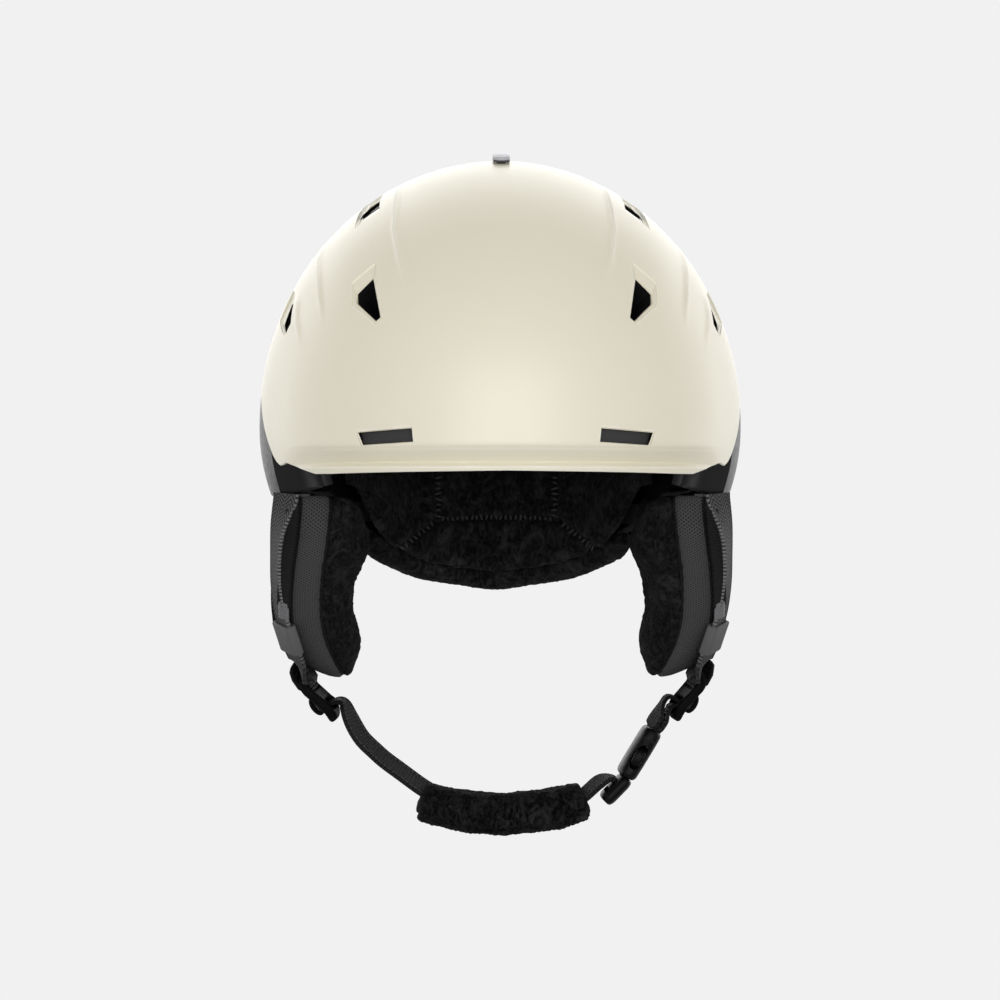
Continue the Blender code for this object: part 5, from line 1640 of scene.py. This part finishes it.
def chin_sling():
    path = catmull(RIGHT_PATH, 5)
    twist = 24 * DEG * smooth(np.linspace(0, 1, len(path)), 0.12, 0.42)
    ob = chin_strap("chin_webbing_right", path, twist, 1.6, 0.35)
    to_frame((-70.0, -9.5, -103.0))
    to_frame((-44.0, -12.0, -130.0))
    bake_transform(ob)
    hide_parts("chin_strap_right")
    for name, control, nodes in (("inner", LEFT_INNER, ["chin_strap_left"]),
                                 ("outer", LEFT_OUTER, [])):
        path = catmull(control, 5)
        k = np.linspace(0, 1, len(path))
        twist = -15 * DEG * smooth(k, 0.52, 0.74) * (1 - smooth(k, 0.84, 0.99))
        ob = chin_strap("chin_webbing_left_" + name, path, twist, 1.4, 0.3)
        place(ob, "chin_sling", "webbing", *nodes)
    arc = [chin_point(d, CHIN_RADIUS, CHIN_Y) for d in np.linspace(-17.5, 17.0, 50)[::4]]
    path = catmull(arc + [(x, CHIN_Y, z) for x, z in LOWER_TAIL], 6)
    x = path[:, 0]
    twist = 15 * DEG * smooth(x, 33.0, 40.0) * (1 - smooth(x, 46.0, 53.5))
    ob = chin_strap("chin_webbing_lower", path, twist, 1.7, 0.3)
    place(ob, "chin_piece", "webbing", "chin_strap_lower")


# ================================================================ buckle
# Outline of the rear latch: distance down the strap, distance to the rear.
LATCH = [(25.1, 6.2), (25.1, 9.2), (21.5, 9.3), (19.6, 9.6), (18.6, 11.2), (16.6, 12.6),
         (14.0, 13.1), (11.4, 12.6), (9.8, 11.0), (8.6, 8.8), (8.0, 6.8), (9.0, 5.4),
         (14.0, 5.2), (20.0, 5.9)]


def body_taper(q):
    wide = 1.0 - 0.10 * bell(q - 0.52, 0.2) - 0.05 * max(0.0, 0.2 - q) / 0.2
    return (wide, 1.0 + 0.06 * math.sin(q * math.pi))


def buckle_body():
    ob = rounded_block("buckle_body", BUCKLE, (-1.0, 25.0), 12.6, 4.7, NYLON, power=2.9,
                       count=72, end=0.5, taper=body_taper)
    window = [at(BUCKLE, 13.8 + 6.3 * math.cos(q), 0, 2.9 * signed_power(math.sin(q), 0.8))
              for q in turn(40)]
    groove = [at(BUCKLE, 24.3 + 0.5 * s, 0, 4.7 * t)
              for s, t in ((-1, 1.3), (1, 1.3), (1, 0.93), (-1, 0.93))]
    cut(ob, [box("body_mouth", (6.0, 40.0), (-10.0, 10.0), (-2.6, 2.6), BUCKLE),
             prism("body_window", window, Y * -30.0, Y * 30.0),
             prism("body_groove", groove, Y * -30.0, Y * 30.0),
             box("body_nick", (3.9, 4.6), (-14.0, -11.6), (-6.0, 6.0), BUCKLE)], sharp=40)
    place(ob, "chin_sling", "black_nylon", "buckle_female")


def buckle_base():
    u = unit([-0.70, 0.0, -0.714])
    axes = (at(BUCKLE, 25.6, 0, 1.0), u, Y, unit(np.cross(Y, u)))
    base = rounded_block("buckle_base", axes, (-0.6, 14.6), 11.7, 3.8, NYLON, power=2.6,
                         count=64, end=0.95)
    cut(base, [box("base_slot", span, (-8.0, 8.0), (-1.0, 20.0), axes)
               for span in ((3.0, 5.8), (8.6, 11.2))], sharp=40)
    guide = rounded_block("buckle_guide", BUCKLE, (8.5, 27.0), 1.4, 2.1, NYLON, power=3.0,
                          count=24, end=0.6)
    place(base, "chin_piece", "black_nylon", "buckle_male")
    place(guide, "chin_piece", "black_nylon")


def buckle_latches():
    outline = catmull(LATCH + LATCH[:1], 5)[:-1]
    for sign, tag in ((-1, "front"), (1, "rear")):
        ob = flat_plate("buckle_latch_" + tag, [[(a, sign * b) for a, b in outline]], 4.6, 1.3,
                        NYLON, BUCKLE, 5)
        place(ob, "buckle_arm_" + tag, "black_nylon", "buckle_arm_" + tag)


# ================================================================ rear dial and goggle clip
# Dial profile: y, radius, depth of the grip flutes (0..1).
DIAL_PROFILE = ((113.6, 1.5, 0), (113.6, 3.2, 0), (128.0, 3.2, 0), (128.0, 12.0, 0),
                (128.3, 13.9, 0.3), (129.3, 14.8, 1), (136.0, 15.0, 1), (141.6, 14.8, 1),
                (143.0, 14.0, 0.6), (143.9, 12.4, 0.1), (143.9, 9.4, 0), (142.9, 8.4, 0),
                (142.7, 4.0, 0), (143.0, 2.4, 0), (143.0, 0.4, 0))


def fit_dial():
    angles = turn(144)
    rings = []
    for y, radius, flute in DIAL_PROFILE:
        r = radius - flute * 0.55 * (0.5 - 0.5 * np.cos(angles * 24)) ** 0.6
        rings.append(np.stack([r * np.sin(angles), np.full(len(angles), y),
                               DIAL_Z + r * np.cos(angles)], 1))
    ob = build_loft("fit_dial_knob", rings, NYLON_MATT, sharp=40)
    marks = []
    for k in range(6):               # six shallow marks round the rear face
        a = k * 1.05
        corners = ((10.4, a), (11.8, a + 0.10), (11.8, a + 0.42), (10.4, a + 0.42))
        loop = [np.array([r * math.sin(q), 144.2, DIAL_Z + r * math.cos(q)])
                for r, q in corners]
        marks.append(prism("mark%d" % k, loop, Y * 0.5, Y * -0.75))
    cut(ob, marks, sharp=40)
    place(ob, "fit_dial", "black_nylon", "fit_dial")


def goggle_clip():
    origin = SHELL.point(180.0, float(SHELL.polar(52.0, 180.0)))
    n = shell_normal(origin)
    n = unit([0.0, n[1], n[2]])
    axes = (origin, X, np.cross(n, X), n)        # across, down the shell, outward
    lever = flat_plate("goggle_lever", [rounded_rect(-9.0, 9.0, -6.6, 22.0, 4.0, 8)], 2.5, 0.8,
                       NYLON_MATT, (origin + n * 6.65, *axes[1:]), 4)
    grooves = []
    for k in range(4):
        along = 12.0 + 2.2 * k
        section = [at(axes, 0, along + s, h) for s, h in ((-0.5, 8.6), (0.5, 8.6), (0.0, 7.2))]
        grooves.append(prism("lever_groove%d" % k, section, X * -6.0, X * 6.0))
    cut(lever, grooves, sharp=40)
    pin = (at(axes, 0, -9.0, 6.6), *axes[1:])
    rings = []
    for s in np.linspace(-9.0, 9.0, 13):
        r = 2.2 if abs(s) > 8.9 else 2.45
        rings.append([at(pin, s, r * math.cos(q), r * math.sin(q)) for q in turn(32)])
    knuckle = build_loft("goggle_lever_knuckle", rings, NYLON_MATT, sharp=50)
    place(lever, "goggle_clip", "black_nylon", "goggle_clip_lever")
    place(knuckle, "goggle_clip", "black_nylon")


# ================================================================ CAD nodes that stay
KEPT_NYLON = ("dial_pinion", "dial_housing", "fit_band_left", "fit_band_right",
              "goggle_clip_base", "vent_shutter", "strap_anchor_front_left",
              "strap_anchor_front_right", "strap_anchor_rear_left", "strap_anchor_rear_right")
KEPT_STEEL = ("dial_screw", "goggle_clip_pin", "vent_slider_screw")


def dress_kept_nodes():
    for names, material in ((KEPT_NYLON, NYLON_MATT), (KEPT_STEEL, STEEL)):
        for name in names:
            ob = CAD[name]
            ob.data.materials.clear()
            ob.data.materials.append(material)
            bevel = ob.modifiers.new("edge", "BEVEL")
            bevel.width, bevel.segments = 0.00025, 2
            bevel.limit_method, bevel.angle_limit = "ANGLE", 40 * DEG


def remove_cutters():
    """Cutters are the meshes without a material."""
    for ob in list(bpy.data.objects):
        if ob.type == "MESH" and not ob.data.materials and ob.name not in CAD:
            bpy.data.objects.remove(ob, do_unlink=True)


# ================================================================ stage, light, camera
PALE = (0.8796, 0.8796, 0.8796)          # what the camera sees of the floor and the world
HELMET_Z = -0.130


def floor_material():
    material = bpy.data.materials.new("pale_floor")
    material.use_nodes = True
    graph = Graph(material.node_tree)
    shader = graph.tree.nodes["Principled BSDF"]
    for key, value in {"Base Color": (0.36, 0.36, 0.36), "Emission Color": (1, 1, 1),
                       "Emission Strength": 0.08, "Roughness": 0.9}.items():
        graph.put(shader.inputs[key], value)
    seen = graph.mix_shader(graph.add("ShaderNodeLightPath", {}, "Is Camera Ray"),
                            graph.output_of("Principled BSDF"),
                            graph.add("ShaderNodeEmission", {0: PALE}))
    # clear from underneath, so a low camera still sees the helmet
    both = graph.mix_shader(graph.add("ShaderNodeNewGeometry", {}, "Backfacing"), seen,
                            graph.add("ShaderNodeBsdfTransparent", {}))
    graph.put(graph.tree.nodes["Material Output"].inputs[0], both)
    return material


def stage_floor():
    half, z = 4, -0.62
    mesh = bpy.data.meshes.new("floor")
    mesh.from_pydata([(-half, -half, z), (half, -half, z), (half, half, z), (-half, half, z)],
                     [], [(0, 1, 2, 3)])
    mesh.materials.append(floor_material())
    link("floor", mesh)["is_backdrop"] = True


def studio_world():
    """Brighter behind, dimmer high up, with a bright patch behind and above."""
    world = bpy.data.worlds.new("soft_studio")
    scene.world = world
    world.use_nodes = True
    graph = Graph(world.node_tree)
    _, y, z = graph.split(graph.add("ShaderNodeTexCoord", {}, "Generated"))
    eased = {"interpolation_type": "SMOOTHSTEP"}
    back = y.ramp((-0.1, 0.9), **eased)
    front = y.ramp((0.1, -0.9), **eased)
    high = z.ramp((0.0, 0.8), **eased)
    over = (y * 0.8 + z * 0.6).ramp((0.72, 0.98), **eased)
    level = (over * 1.5 + (0.80 + back * 0.50)) + (front * 0.05 - high * 0.48)
    background = graph.tree.nodes["Background"]
    graph.put(background.inputs[0], (1.0, 1.0, 1.0))
    graph.put(background.inputs[1], level)
    seen = graph.mix_shader(graph.add("ShaderNodeLightPath", {}, "Is Camera Ray"),
                            graph.output_of("Background"),
                            graph.add("ShaderNodeBackground", {0: PALE}))
    graph.put(graph.tree.nodes["World Output"].inputs[0], seen)


def aim(ob, target):
    ob.rotation_mode = "QUATERNION"
    ob.rotation_quaternion = (Vector(target) - ob.location).to_track_quat("-Z", "Y")


def area_light(name, location, size, size_y, power, target=(0, 0, -0.1)):
    light = bpy.data.lights.new(name, "AREA")
    light.shape = "RECTANGLE"
    light.size, light.size_y, light.energy = size, size_y, power
    ob = link(name, light)
    ob.location = location
    aim(ob, target)


def add_camera():
    data = bpy.data.cameras.new("camera")
    data.lens, data.sensor_width = 121.5, 36.0
    data.clip_start, data.clip_end = 0.05, 30.0
    distance, yaw = 1.6, -1.4 * DEG
    camera = link("camera", data)
    camera.location = (distance * math.sin(yaw), -distance * math.cos(yaw), HELMET_Z)
    aim(camera, (0, 0, HELMET_Z))
    scene.camera = camera


# ================================================================ build everything
upper_shell()
foam_liner()
lower_shell()
for side, tag in SIDES:
    brow_insert(side, tag)
vent_slider()
inner_padding()
ear_pads()
chin_pad()
inflate_all()
liner_stitches()
for _, tag in SIDES:
    strap_divider(tag)
for side, tag in SIDES:
    side_webbing(side, tag)
chin_sling()
buckle_body()
buckle_base()
buckle_latches()
fit_dial()
goggle_clip()
dress_kept_nodes()
remove_cutters()

stage_floor()
studio_world()
area_light("key_low_front", (0.03, -2.1, -0.09), size=1.9, size_y=1.9, power=29.0,
           target=(0, 0, -0.11))
area_light("rim_left", (-1.3, 0.9, 0.15), size=0.8, size_y=1.4, power=3.3)
area_light("rim_right", (1.3, 0.9, 0.15), size=0.8, size_y=1.4, power=3.5)
add_camera()
scene.view_settings.view_transform = "Standard"
scene.view_settings.look = "None"

lo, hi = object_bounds()
